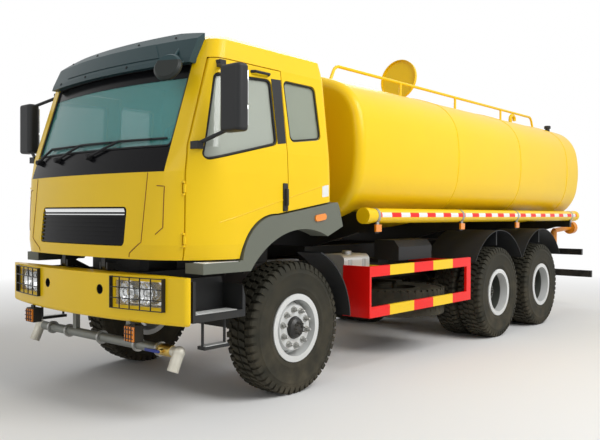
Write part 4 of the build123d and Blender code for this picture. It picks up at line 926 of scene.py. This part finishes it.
class TANKER_OT_lamps(bpy.types.Operator):
    """Reflectors and bulbs behind the headlamp lenses, bars on the fog lamps, divided tail lamps"""

    bl_idname = "tanker.lamps"
    bl_label = "Lamps"

    def execute(self, context):
        low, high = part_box("headlamps")
        lens = skin("headlamps")
        mid_z = (low.z + high.z) / 2
        bulb_places, inner_x, outer_x, edge = (0.66, 0.85), 0.57, 1.022, 0.006
        bowl = ((0.058, 0.0), (0.056, 0.022), (0.046, 0.05), (0.026, 0.072), (0.006, 0.082), (0.002, 0.086),
                (0.004, 0.088), (0.062, 0.03), (0.064, 0.0))
        bm = bmesh.new()
        bulbs = bmesh.new()
        for _, sign in SIDES:
            for x in bulb_places:
                front = on_front(lens, sign * x, mid_z)
                lathe(bm, bowl, front + Vector((0, 0.008, 0)), (0, 1, 0), 28)
                lathe(bulbs, ((0.024, 0.0), (0.026, 0.01), (0.034, 0.013), (0.056, 0.013), (0.058, 0.0)),
                      front, (0, 1, 0), 12)
            back = rectangle(sign * inner_x, sign * outer_x, low.z + edge, high.z - edge)
            drape(bm, lens, spans(back, 12, 2), lift=-0.06)
        to_piece(closed_up(bm), "headlamp_reflectors", "chassis", FINISH["chrome"])
        to_piece(closed_up(bulbs), "headlamp_bulbs", "chassis", FINISH["pearl"])
        self.fog_bars()
        self.tail_bars()
        return {"FINISHED"}

    def fog_bars(self):
        """Black bars across the fog lamps."""
        lens = skin("marker_lamps")
        lamp_x, lamp_z, half, pitch, proud, wire = 0.735, 0.64, 0.055, 0.033, 0.004, 0.0035
        bm = bmesh.new()
        for _, sign in SIDES:
            face = on_front(lens, sign * lamp_x, lamp_z)
            for step in (-1, 0, 1):
                level = step * pitch
                for ends in (((-half, level), (half, level)), ((level, -half), (level, half))):
                    tube(bm, [face + Vector((x, -proud, z)) for x, z in ends], wire, 6)
        to_piece(closed_up(bm), "fog_lamp_bars", "chassis", FINISH["moulded"])

    def tail_bars(self):
        """Housing ribs that divide each tail lamp."""
        low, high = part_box("tail_lamps")
        bm = bmesh.new()
        for _, sign in SIDES:
            for x in (0.82, 0.92, 1.02, 1.12):
                soft_box(bm, (sign * x - 0.006, high.y - 0.02, low.z - 0.004),
                         (sign * x + 0.006, high.y + 0.006, high.z + 0.004), 0.002)
        to_piece(bm, "tail_lamp_ribs", "chassis", FINISH["moulded"])


# Cab trim

class TANKER_OT_cab_trim(bpy.types.Operator):
    """Window seals, panel seams and painted shade along the front corner recesses, grille strip, visor panel,
    wipers and door handles
    """

    bl_idname = "tanker.cab_trim"
    bl_label = "Cab trim"

    def execute(self, context):
        settings = context.scene.tanker_trim
        self.windscreen(settings)
        self.side_windows(settings)
        self.seams(settings)
        self.grille_strip()
        self.wipers()
        self.handles()
        return {"FINISHED"}

    def windscreen(self, settings):
        """Seal round the windscreen's glass, and a black sheet along its top that is the visor's painted
        shadow.
        """
        glass = skin("cab_glass")
        cowl_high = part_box("cowl")[1]
        set_in, top_set, visor_shadow_depth = 0.012, 0.03, 0.12
        edge = cowl_high.x - set_in
        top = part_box("cab_glass")[1].z - top_set
        outline = spread(rounded(rectangle(-edge, edge, cowl_high.z + set_in, top), 0.05), 0.08)
        bm = bmesh.new()
        path = [on_front(glass, p.x, p.y) - Vector((0, 0.006, 0)) for p in outline]
        tube(bm, path, settings.seal_radius, 8, closed=True)
        to_piece(closed_up(bm), "windscreen_seal", "cab", FINISH["seal"])
        # painted shadow of the visor: a gloss black sheet laid on the top of the glass
        bm = bmesh.new()
        band = rectangle(-edge, edge, top - visor_shadow_depth, top)
        drape(bm, glass, spans(band, 24, 2), lift=0.001, thick=0.002)
        to_piece(closed_up(bm), "windscreen_visor_shadow", "cab", FINISH["gloss_black"])

    def side_windows(self, settings):
        """Seals round the door and rear side panes, and the black bar behind each door pane."""
        for side, sign in SIDES:
            rows = (("door", f"door_glass_{side}", f"{side}_door", 1.0), ("quarter", "cab_glass", "cab", 0.6))
            for name, node, body, share in rows:
                panes = skin(node)
                corners = [Vector(corner) for corner in WINDOW_CORNERS[name]]
                centre = sum(corners, Vector((0, 0))) / len(corners)
                corners = [corner + (centre - corner).normalized() * 0.018 for corner in corners]
                outline = spread(rounded(corners, 0.05), 0.07)
                path = [on_side(panes, sign, p.x, p.y) + Vector((sign * 0.009, 0, 0)) for p in outline]
                bm = bmesh.new()
                tube(bm, path, settings.seal_radius * share, 8, closed=True)
                to_piece(closed_up(bm), f"{name}_window_seal_{side}", body, FINISH["seal"])
            bm = bmesh.new()
            bar = ((-0.318, 2.1), (-0.218, 2.115), (-0.218, 2.64), (-0.334, 2.635))
            drape(bm, skin(f"door_{side}"), spans(bar, 3, 6), side=sign, thick=0.003)
            to_piece(closed_up(bm), f"door_bar_{side}", f"{side}_door", FINISH["moulded"])

    def seams(self, settings):
        """Seams of the front panel and painted shade along its corner recesses, creases of the doors, and
        bare plates.
        """
        front = skin("cab_front", "cab_pillars", "cowl", "grille")
        bm = bmesh.new()
        # First line: the front panel's seam, a dark joint. Second line: the edge of a corner recess, a dark
        # line of painted shade.
        lines = (((0.8, 1.84), (0.795, 1.6), (0.79, 1.32), (0.66, 1.235), (0.65, 1.2)),
                 ((0.9, 1.74), (0.965, 1.735), (0.965, 1.43), (0.9, 1.37)))
        for _, sign in SIDES:
            for line in lines:
                points = []
                for start, end in zip(line, line[1:]):
                    points += [Vector(start).lerp(Vector(end), step / 6) for step in range(6)]
                path = [on_front(front, sign * p.x, p.y) for p in points]
                tube(bm, path, settings.seam_radius, 6)
        to_piece(closed_up(bm), "front_panel_seams_and_recess_shade", "cab", FINISH["seam"])
        for side, sign in SIDES:
            for name, body, node, start, end in (
                    ("door", f"{side}_door", f"door_{side}", (-0.95, 1.47), (-0.225, 1.66)),
                    ("quarter", "cab", "cab_quarters", (-0.19, 1.67), (0.32, 1.8))):
                walls = skin(node)
                bm = bmesh.new()
                path = [Vector(start).lerp(Vector(end), step / 8) for step in range(9)]
                tube(bm, [on_side(walls, sign, p.x, p.y) for p in path], 0.005, 6)
                to_piece(closed_up(bm), f"{name}_crease_{side}", body, FINISH["yellow"])
            bm = bmesh.new()
            plate = ((0.235, 1.68), (0.325, 1.69), (0.325, 1.79), (0.235, 1.78))
            drape(bm, skin("cab_quarters"), spans(plate, 3, 3), side=sign, thick=0.002)
            to_piece(closed_up(bm), f"bare_plate_{side}", "cab", FINISH["pearl"])

    def grille_strip(self):
        """Bright strip along the grille's top, and the visor's raised panel."""
        low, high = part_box("grille")
        bm = bmesh.new()
        strip = rectangle(low.x + 0.03, high.x - 0.03, high.z - 0.062, high.z - 0.012)
        drape(bm, skin("grille"), spans(strip, 20, 2), thick=0.005)
        to_piece(closed_up(bm), "grille_strip", "cab", FINISH["chrome"])
        bm = bmesh.new()
        panel = ((-0.66, 2.75), (0.66, 2.75), (0.56, 2.88), (-0.56, 2.88))
        drape(bm, skin("visor"), spans(panel, 20, 3), thick=0.006)
        to_piece(closed_up(bm), "visor_panel", "cab", FINISH["slate"])

    def wipers(self):
        """Arms with a bend and blades that lie on the windscreen."""
        glass = skin("cab_glass", "cowl")
        # Columns: X of the pivot, X of the elbow, X of the blade's tip
        rows = ((-0.84, -0.63, -0.1), (-0.45, -0.12, 0.43), (0.06, 0.4, 0.89))
        pivot_z, elbow_z, tip_z = 1.99, 2.1, 2.1
        lift = Vector((0, -0.022, 0))
        bm = bmesh.new()
        for pivot_x, elbow_x, tip_x in rows:
            pivot = on_front(glass, pivot_x, pivot_z)
            elbow = on_front(glass, elbow_x, elbow_z) + lift * 1.6
            lathe(bm, ((-0.05, 0.0), (-0.048, 0.02), (-0.01, 0.028), (0.01, 0.028)), pivot, (0, 1, 0), 14)
            tube(bm, (pivot + lift, pivot.lerp(elbow, 0.5) + lift * 0.8, elbow), 0.011, 8)
            blade_start = elbow_x - 0.06
            path = []
            for step in range(9):
                x = blade_start + (tip_x - blade_start) * step / 8
                path.append(on_front(glass, x, tip_z) + lift * 0.5)
            tube(bm, path, 0.009, 6)
            tube(bm, [point + lift * 0.6 for point in path[2:7]], 0.008, 6)
            tube(bm, (elbow, path[4] + lift * 0.6), 0.009, 6)
        to_piece(closed_up(bm), "wipers", "cab", FINISH["seal"])

    def handles(self):
        """Upright black door handles with a finger plate behind, and grips above the panes."""
        for side, sign in SIDES:
            door = skin(f"door_{side}")
            bm = bmesh.new()
            # Columns: lower end, upper end, height above the skin, half width
            for low, high, proud, half in ((1.555, 1.785, 0.006, 0.027), (1.6, 1.74, 0.03, 0.014)):
                spot = on_side(door, sign, -0.247, (low + high) / 2)
                soft_box(bm, (spot.x - 0.012, spot.y - half, low),
                         (spot.x + sign * proud + 0.006, spot.y + half, high), 0.008)
            grip = [on_side(door, sign, y, 2.66) + Vector((sign * out, 0, 0))
                    for y, out in ((-0.56, 0.0), (-0.54, 0.03), (-0.38, 0.03), (-0.36, 0.0))]
            tube(bm, grip, 0.012, 8)
            to_piece(closed_up(bm), f"door_handle_{side}", f"{side}_door", FINISH["moulded"])


# Corners of the side panes: distance behind the front axle, height
WINDOW_CORNERS = {
    "door": ((-1.105, 1.914), (-0.32, 2.093), (-0.336, 2.628), (-0.935, 2.6)),
    "quarter": ((-0.16, 2.125), (0.25, 2.178), (0.225, 2.645), (-0.19, 2.645)),
}


class TANKER_OT_mirrors(bpy.types.Operator):
    """Mirror glass in the door mirrors"""

    bl_idname = "tanker.mirrors"
    bl_label = "Mirrors"

    def execute(self, context):
        for side, sign in SIDES:
            low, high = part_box(f"mirror_{side}")
            outer = high.x if sign > 0 else low.x
            x = outer - sign * 0.105
            back = hit(skin(f"mirror_{side}"), (x, 0, 2.36), (0, -1, 0)).y
            bm = bmesh.new()
            for z0, z1 in ((2.165, 2.31), (2.325, 2.56)):
                soft_box(bm, (x - 0.082, back - 0.004, z0), (x + 0.082, back + 0.004, z1), 0.004)
            to_piece(bm, f"mirror_glass_{side}", f"{side}_door", FINISH["mirror"])
        return {"FINISHED"}


# Seats

class TANKER_OT_seats(bpy.types.Operator):
    """Rounded cushions, backs and head rests of the two seats"""

    bl_idname = "tanker.seats"
    bl_label = "Seats"

    def execute(self, context):
        low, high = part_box("seats")
        seat_half_width, edge_round = 0.25, 0.04
        # Columns: distance behind the front axle, height, half sizes, lean in degrees
        pads = ((-0.14, 1.975, (0.25, 0.25, 0.075), -6), (0.15, 2.21, (0.24, 0.075, 0.23), -14),
                (0.245, 2.53, (0.15, 0.05, 0.1), -14), (-0.12, 1.8, (0.2, 0.2, 0.12), 0))
        bm = bmesh.new()
        for x in (low.x + seat_half_width, high.x - seat_half_width):
            for y, z, half, lean in pads:
                place = Matrix.Translation((x, aft(y), z)) @ Matrix.Rotation(radians(lean), 4, "X")
                made = bmesh.ops.create_cube(bm, size=2, matrix=place @ Matrix.Diagonal((*half, 1)))
                soften(bm, made, edge_round, 3)
        seats = to_piece(bm, "seat_cushions", "cab", FINISH["cloth"], 60)
        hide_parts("seats")
        return {"FINISHED"}


# Tank trim

class TANKER_OT_tank_trim(bpy.types.Operator):
    """Weld beads, tube straps, the lid's handle and the rear cap"""

    bl_idname = "tanker.tank_trim"
    bl_label = "Tank trim"

    def execute(self, context):
        settings = context.scene.tanker_trim
        self.welds(settings)
        self.straps()
        self.lid_handle()
        self.rear_cap()
        return {"FINISHED"}

    def rear_cap(self):
        """Small black cap on the tank's shoulder near its rear end."""
        foot = hit(skin("water_tank"), (0.8, aft(6.44), 4.0), (0, 0, -1))
        bm = bmesh.new()
        profile = ((-0.02, 0.035), (0.03, 0.035), (0.034, 0.05), (0.07, 0.05), (0.078, 0.04))
        lathe(bm, profile, foot, (0, 0, 1), 20)
        to_piece(closed_up(bm), "rear_cap", "chassis", FINISH["moulded"])

    def welds(self, settings):
        """Beads round the tank where its shell plates meet."""
        tank = skin("water_tank")
        middle_z = (TANK_LOW.z + TANK_HIGH.z) / 2
        bm = bmesh.new()
        turns = [tau * step / 120 for step in range(120)]
        for place in (2.72, 4.42, 6.1):
            path = [hit(tank, (0, aft(place), middle_z), (cos(a), 0, sin(a))) for a in turns]
            tube(bm, path, settings.weld_radius, 6, closed=True)
        to_piece(closed_up(bm), "tank_welds", "chassis", FINISH["yellow"])

    def straps(self):
        """Steel straps round the tubes, with the clips below them."""
        radius = LOCKER_HIGH.z - LOCKER.z - 0.006
        bm = bmesh.new()
        for _, sign in SIDES:
            x = sign * (LOCKER_HIGH.x - 0.078)
            for y in (aft(1.11), aft(2.81), aft(4.32), aft(6.3)):
                lathe(bm, ((-0.02, radius + 0.0005), (-0.02, radius + 0.004), (0.02, radius + 0.004),
                           (0.02, radius + 0.0005)), (x, y, LOCKER.z), (0, 1, 0), 36, closed=True)
                soft_box(bm, (x + sign * 0.04 - 0.012, y - 0.02, LOCKER.z - 0.1),
                         (x + sign * 0.04 + 0.012, y + 0.02, LOCKER.z - 0.06), 0.003)
        to_piece(closed_up(bm), "tube_straps", "chassis", FINISH["zinc"])

    def lid_handle(self):
        """Grab handle on the open lid."""
        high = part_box("manhole_lid")[1]
        lid = skin("manhole_lid")
        bm = bmesh.new()
        top = hit(lid, (0, 3, high.z - 0.12), (0, -1, 0))
        for x in (-0.07, 0.07):
            lathe(bm, ((-0.004, 0.02), (0.004, 0.02)), top + Vector((x, 0, 0)), (0, 1, 0), 12)
        tube(bm, (top + Vector((-0.07, 0, 0)), top + Vector((-0.07, 0.05, 0)), top + Vector((0.07, 0.05, 0)),
                  top + Vector((0.07, 0, 0))), 0.009, 8)
        to_piece(closed_up(bm), "lid_handle", "lid", FINISH["yellow"])


# Chassis trim

class TANKER_OT_chassis_trim(bpy.types.Operator):
    """Frame and visor bolts, step treads, painted shade in the tow holes, spare tread, bar valve and fuel
    tank straps
    """

    bl_idname = "tanker.chassis_trim"
    bl_label = "Chassis trim"

    def execute(self, context):
        settings = context.scene.tanker_trim
        self.frame_bolts(settings)
        self.step_treads()
        self.tow_hole_shade()
        self.spare_lugs()
        self.valve()
        self.tank_straps()
        return {"FINISHED"}

    def frame_bolts(self, settings):
        """Rows of bolts on the frame's outer webs, and bolts on the visor."""
        low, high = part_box("frame_rails")
        places = []
        for sign in (1, -1):
            y = low.y + 0.3
            while y < high.y - 0.2:
                for z in (low.z + 0.07, high.z - 0.07):
                    places.append((Vector((sign * high.x, y, z)), Vector((sign, 0, 0))))
                y += 0.24
        bolts("frame_bolts", places, "chassis", FINISH["iron"], settings.bolt_radius)
        visor = skin("visor")
        places = []
        for x in (-0.78, -0.3, 0.3, 0.72):
            for z in (2.715, 2.915):
                places.append((on_front(visor, x, z), Vector((0, -1, 0.3))))
        bolts("visor_bolts", places, "cab", FINISH["seal"], 0.009)

    def step_treads(self):
        """Bright tread strips on the steps."""
        # Columns: body, height, span behind the front axle, span across
        rows = (("chassis", 0.803, -1.18, -0.77, 1.1, 1.232), ("cab", 1.171, -1.12, -0.78, 1.12, 1.255),
                ("chassis", 0.551, -1.05, -0.83, 1.115, 1.185))
        for row, (body, z, y0, y1, x0, x1) in enumerate(rows):
            bm = bmesh.new()
            for _, sign in SIDES:
                for step in range(5):
                    x = x0 + (x1 - x0) * (step + 0.5) / 5
                    soft_box(bm, (sign * x - 0.009, aft(y0), z - 0.003),
                             (sign * x + 0.009, aft(y1), z + 0.004), 0.002)
            to_piece(bm, f"step_treads_{row}", body, FINISH["alloy"])

    def tow_hole_shade(self):
        """Black sleeves and end discs in the bumper's two tow holes: painted shade inside the holes."""
        sleeve = ((0.0, 0.0375), (0.055, 0.0375), (0.055, 0.0345), (0.05, 0.0345), (0.0, 0.0345))
        bm = bmesh.new()
        for _, sign in SIDES:
            mouth = (sign * 0.383, aft(-1.425), 0.95)
            lathe(bm, sleeve, mouth, (0, 1, 0), 28, closed=True)
            lathe(bm, ((0.046, 0.036), (0.052, 0.036)), mouth, (0, 1, 0), 28)
        # painted shade: black sleeves and discs fill the tow holes
        to_piece(closed_up(bm), "tow_hole_shade", "chassis", FINISH["seal"])

    def spare_lugs(self):
        """Two rows of tread blocks round the spare wheel."""
        low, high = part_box("spare_wheel")
        radius, count = (high.x - low.x) / 2, 44
        depth, row_z, size = 0.012, 0.07, (0.03, 0.05, 0.1, 1)
        bm = bmesh.new()
        for step in range(count):
            for row in (-1, 1):
                turn = Matrix.Rotation(tau * (step + 0.25 * row) / count, 4, "Z")
                spot = Matrix.Translation(middle("spare_wheel")) @ turn
                spot = spot @ Matrix.Translation((radius - depth, 0, row * row_z))
                bmesh.ops.create_cube(bm, size=1.0, matrix=spot @ Matrix.Diagonal(size))
        to_piece(bm, "spare_lugs", "chassis", FINISH["rubber"])

    def valve(self):
        """Flanges of the spray bar, and a brass valve with a blue handle near its left end."""
        y, bar_z = aft(-1.15), 0.5
        spot = (0.86, y, bar_z)
        bm = bmesh.new()
        lathe(bm, ((-0.07, 0.042), (-0.04, 0.048), (0.04, 0.048), (0.07, 0.042)), spot, (1, 0, 0), 16)
        lathe(bm, ((0.03, 0.02), (0.075, 0.02), (0.08, 0.012)), spot, (0, -1, 0), 12)
        to_piece(closed_up(bm), "bar_valve", "chassis", FINISH["brass"])
        bm = bmesh.new()
        soft_box(bm, (0.70, y - 0.092, 0.488), (0.875, y - 0.078, 0.512), 0.005)
        to_piece(bm, "valve_handle", "chassis", FINISH["blue"])
        bm = bmesh.new()
        flange = ((-0.012, 0.0385), (-0.012, 0.056), (0.012, 0.056), (0.012, 0.0385))
        for x in (-0.5, 0.0, 0.5, 0.78, -0.78):
            lathe(bm, flange, (x, y, bar_z), (1, 0, 0), 24, closed=True)
        to_piece(closed_up(bm), "bar_flanges", "chassis", FINISH["zinc"])

    def tank_straps(self):
        """Straps and cap of the fuel tank."""
        low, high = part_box("fuel_tank")
        bm = bmesh.new()
        for y in (low.y + 0.1, high.y - 0.1):
            soft_box(bm, (high.x - 0.02, y - 0.03, low.z + 0.05),
                     (high.x + 0.004, y + 0.03, high.z - 0.05), 0.003)
        filler = (high.x - 0.12, low.y + 0.2, high.z)
        lathe(bm, ((-0.01, 0.05), (0.03, 0.05), (0.035, 0.04)), filler, (0, 0, 1), 20)
        to_piece(closed_up(bm), "fuel_tank_straps", "chassis", FINISH["zinc"])


def seen_rays(tree):
    """Mask of the rays that show the surround: to the camera, off metal and through glass."""
    ray = tree.nodes.new("ShaderNodeLightPath").outputs
    return math(tree, "MAXIMUM", math(tree, "MAXIMUM", ray["Is Camera Ray"], ray["Is Glossy Ray"]),
                ray["Is Transmission Ray"])


def blend(tree, mask, plain, white, end):
    """Shows a plain shader outside a mask and a white one inside it."""
    mix = tree.nodes.new("ShaderNodeMixShader")
    for socket, source in zip(mix.inputs, (mask, plain.outputs[0], white.outputs[0])):
        tree.links.new(source, socket)
    tree.links.new(mix.outputs[0], tree.nodes[end].inputs["Surface"])


class TANKER_OT_stage(bpy.types.Operator):
    """Pale floor, soft lights, white surround and the camera"""

    bl_idname = "tanker.stage"
    bl_label = "Stage"

    def execute(self, context):
        settings = context.scene.tanker_stage
        self.floor()
        self.lights(settings)
        self.camera(settings)
        context.scene.view_settings.view_transform = "Standard"
        return {"FINISHED"}

    def floor(self):
        """Wide floor that fades to white away from the truck."""
        bm = bmesh.new()
        bmesh.ops.create_grid(bm, x_segments=1, y_segments=1, size=60)
        mesh = bpy.data.meshes.new("floor")
        bm.to_mesh(mesh)
        bm.free()
        floor = bpy.data.objects.new("floor", mesh)
        bpy.context.scene.collection.objects.link(floor)
        made, tree, shader = bare("Pale floor", 0.9, shine=0.1)
        shader.inputs["Base Color"].default_value = (0.82, 0.82, 0.81, 1)
        place = tree.nodes.new("ShaderNodeTexCoord")
        far = tree.nodes.new("ShaderNodeVectorMath")
        far.operation = "LENGTH"
        tree.links.new(place.outputs["Object"], far.inputs[0])
        fade_start, fade_end = 5.0, 11.0
        fade = ramp(tree, far.outputs["Value"], fade_start, fade_end)
        shown = math(tree, "MULTIPLY", fade, seen_rays(tree))
        blend(tree, shown, shader, tree.nodes.new("ShaderNodeEmission"), "Material Output")
        mesh.materials.append(made)

    def lights(self, settings):
        """Large soft key from the left and above, weaker fills from front and back, and a pale sky."""
        for name, place, target, size, power in (
                ("key", (9.0, -1.0, 8.5), (0, 0, 1.2), 7.0, settings.key_power),
                ("front_fill", (1.0, -13.0, 6.0), (0, -3, 1.2), 6.0, settings.key_power * 0.17),
                ("back_fill", (-8.0, 8.0, 7.0), (0, 1, 1.5), 7.0, settings.key_power * 0.5)):
            data = bpy.data.lights.new(name, "AREA")
            data.energy = power
            data.size = size
            lamp = bpy.data.objects.new(name, data)
            lamp.location = place
            lamp.rotation_euler = (Vector(target) - Vector(place)).to_track_quat("-Z", "Y").to_euler()
            bpy.context.scene.collection.objects.link(lamp)
        world = bpy.data.worlds.new("Studio")
        world.use_nodes = True
        tree = world.node_tree
        sky = tree.nodes["Background"]
        sky.inputs["Color"].default_value = (1, 1, 1, 1)
        sky.inputs["Strength"].default_value = settings.sky
        white = tree.nodes.new("ShaderNodeBackground")
        white.inputs["Color"].default_value = (1, 1, 1, 1)
        blend(tree, seen_rays(tree), sky, white, "World Output")
        bpy.context.scene.world = world

    def camera(self, settings):
        """Camera at the photograph's place, turned by yaw, pitch and roll."""
        yaw, pitch, roll = radians(40.806), radians(-0.448), radians(0.165)
        data = bpy.data.cameras.new("camera")
        data.lens = settings.lens
        data.sensor_width = 36.0
        data.sensor_fit = "HORIZONTAL"
        camera = bpy.data.objects.new("camera", data)
        place = (5.0705, aft(-4.49), 1.5294)
        turn = Matrix.Rotation(yaw, 4, "Z") @ Matrix.Rotation(pi / 2 + pitch, 4, "X")
        camera.matrix_world = Matrix.Translation(place) @ turn @ Matrix.Rotation(roll, 4, "Z")
        bpy.context.scene.collection.objects.link(camera)
        bpy.context.scene.camera = camera


SETTINGS = (("tanker_paint", TankerPaint), ("tanker_tyres", TankerTyres), ("tanker_trim", TankerTrim),
            ("tanker_stage", TankerStage))
OPERATORS = (TANKER_OT_finishes, TANKER_OT_tyres, TANKER_OT_wheels, TANKER_OT_lamps, TANKER_OT_cab_trim,
             TANKER_OT_mirrors, TANKER_OT_seats, TANKER_OT_tank_trim, TANKER_OT_chassis_trim, TANKER_OT_stage)


class TANKER_PT_sidebar(bpy.types.Panel):
    """Lists the truck's pieces and settings."""

    bl_idname = "TANKER_PT_sidebar"
    bl_label = "Water tanker"
    bl_space_type = "VIEW_3D"
    bl_region_type = "UI"
    bl_category = "Tanker"

    def draw(self, context):
        for operator in OPERATORS:
            self.layout.operator(operator.bl_idname)
        for name, group in SETTINGS:
            column = self.layout.column()
            for label in group.__annotations__:
                column.prop(getattr(context.scene, name), label)


def register():
    """Add the settings, operators and panel."""
    for name, group in SETTINGS:
        bpy.utils.register_class(group)
        setattr(bpy.types.Scene, name, PointerProperty(type=group))
    for made in (*OPERATORS, TANKER_PT_sidebar):
        bpy.utils.register_class(made)


def unregister():
    """Remove the panel, operators and settings."""
    for made in reversed((*OPERATORS, TANKER_PT_sidebar)):
        bpy.utils.unregister_class(made)
    for name, group in reversed(SETTINGS):
        delattr(bpy.types.Scene, name)
        bpy.utils.unregister_class(group)


def main():
    """Build every piece in order."""
    register()
    bpy.ops.tanker.finishes()
    bpy.ops.tanker.tyres()
    bpy.ops.tanker.wheels()
    bpy.ops.tanker.lamps()
    bpy.ops.tanker.cab_trim()
    bpy.ops.tanker.mirrors()
    bpy.ops.tanker.seats()
    bpy.ops.tanker.tank_trim()
    bpy.ops.tanker.chassis_trim()
    bpy.ops.tanker.stage()


if __name__ == "__main__":
    main()
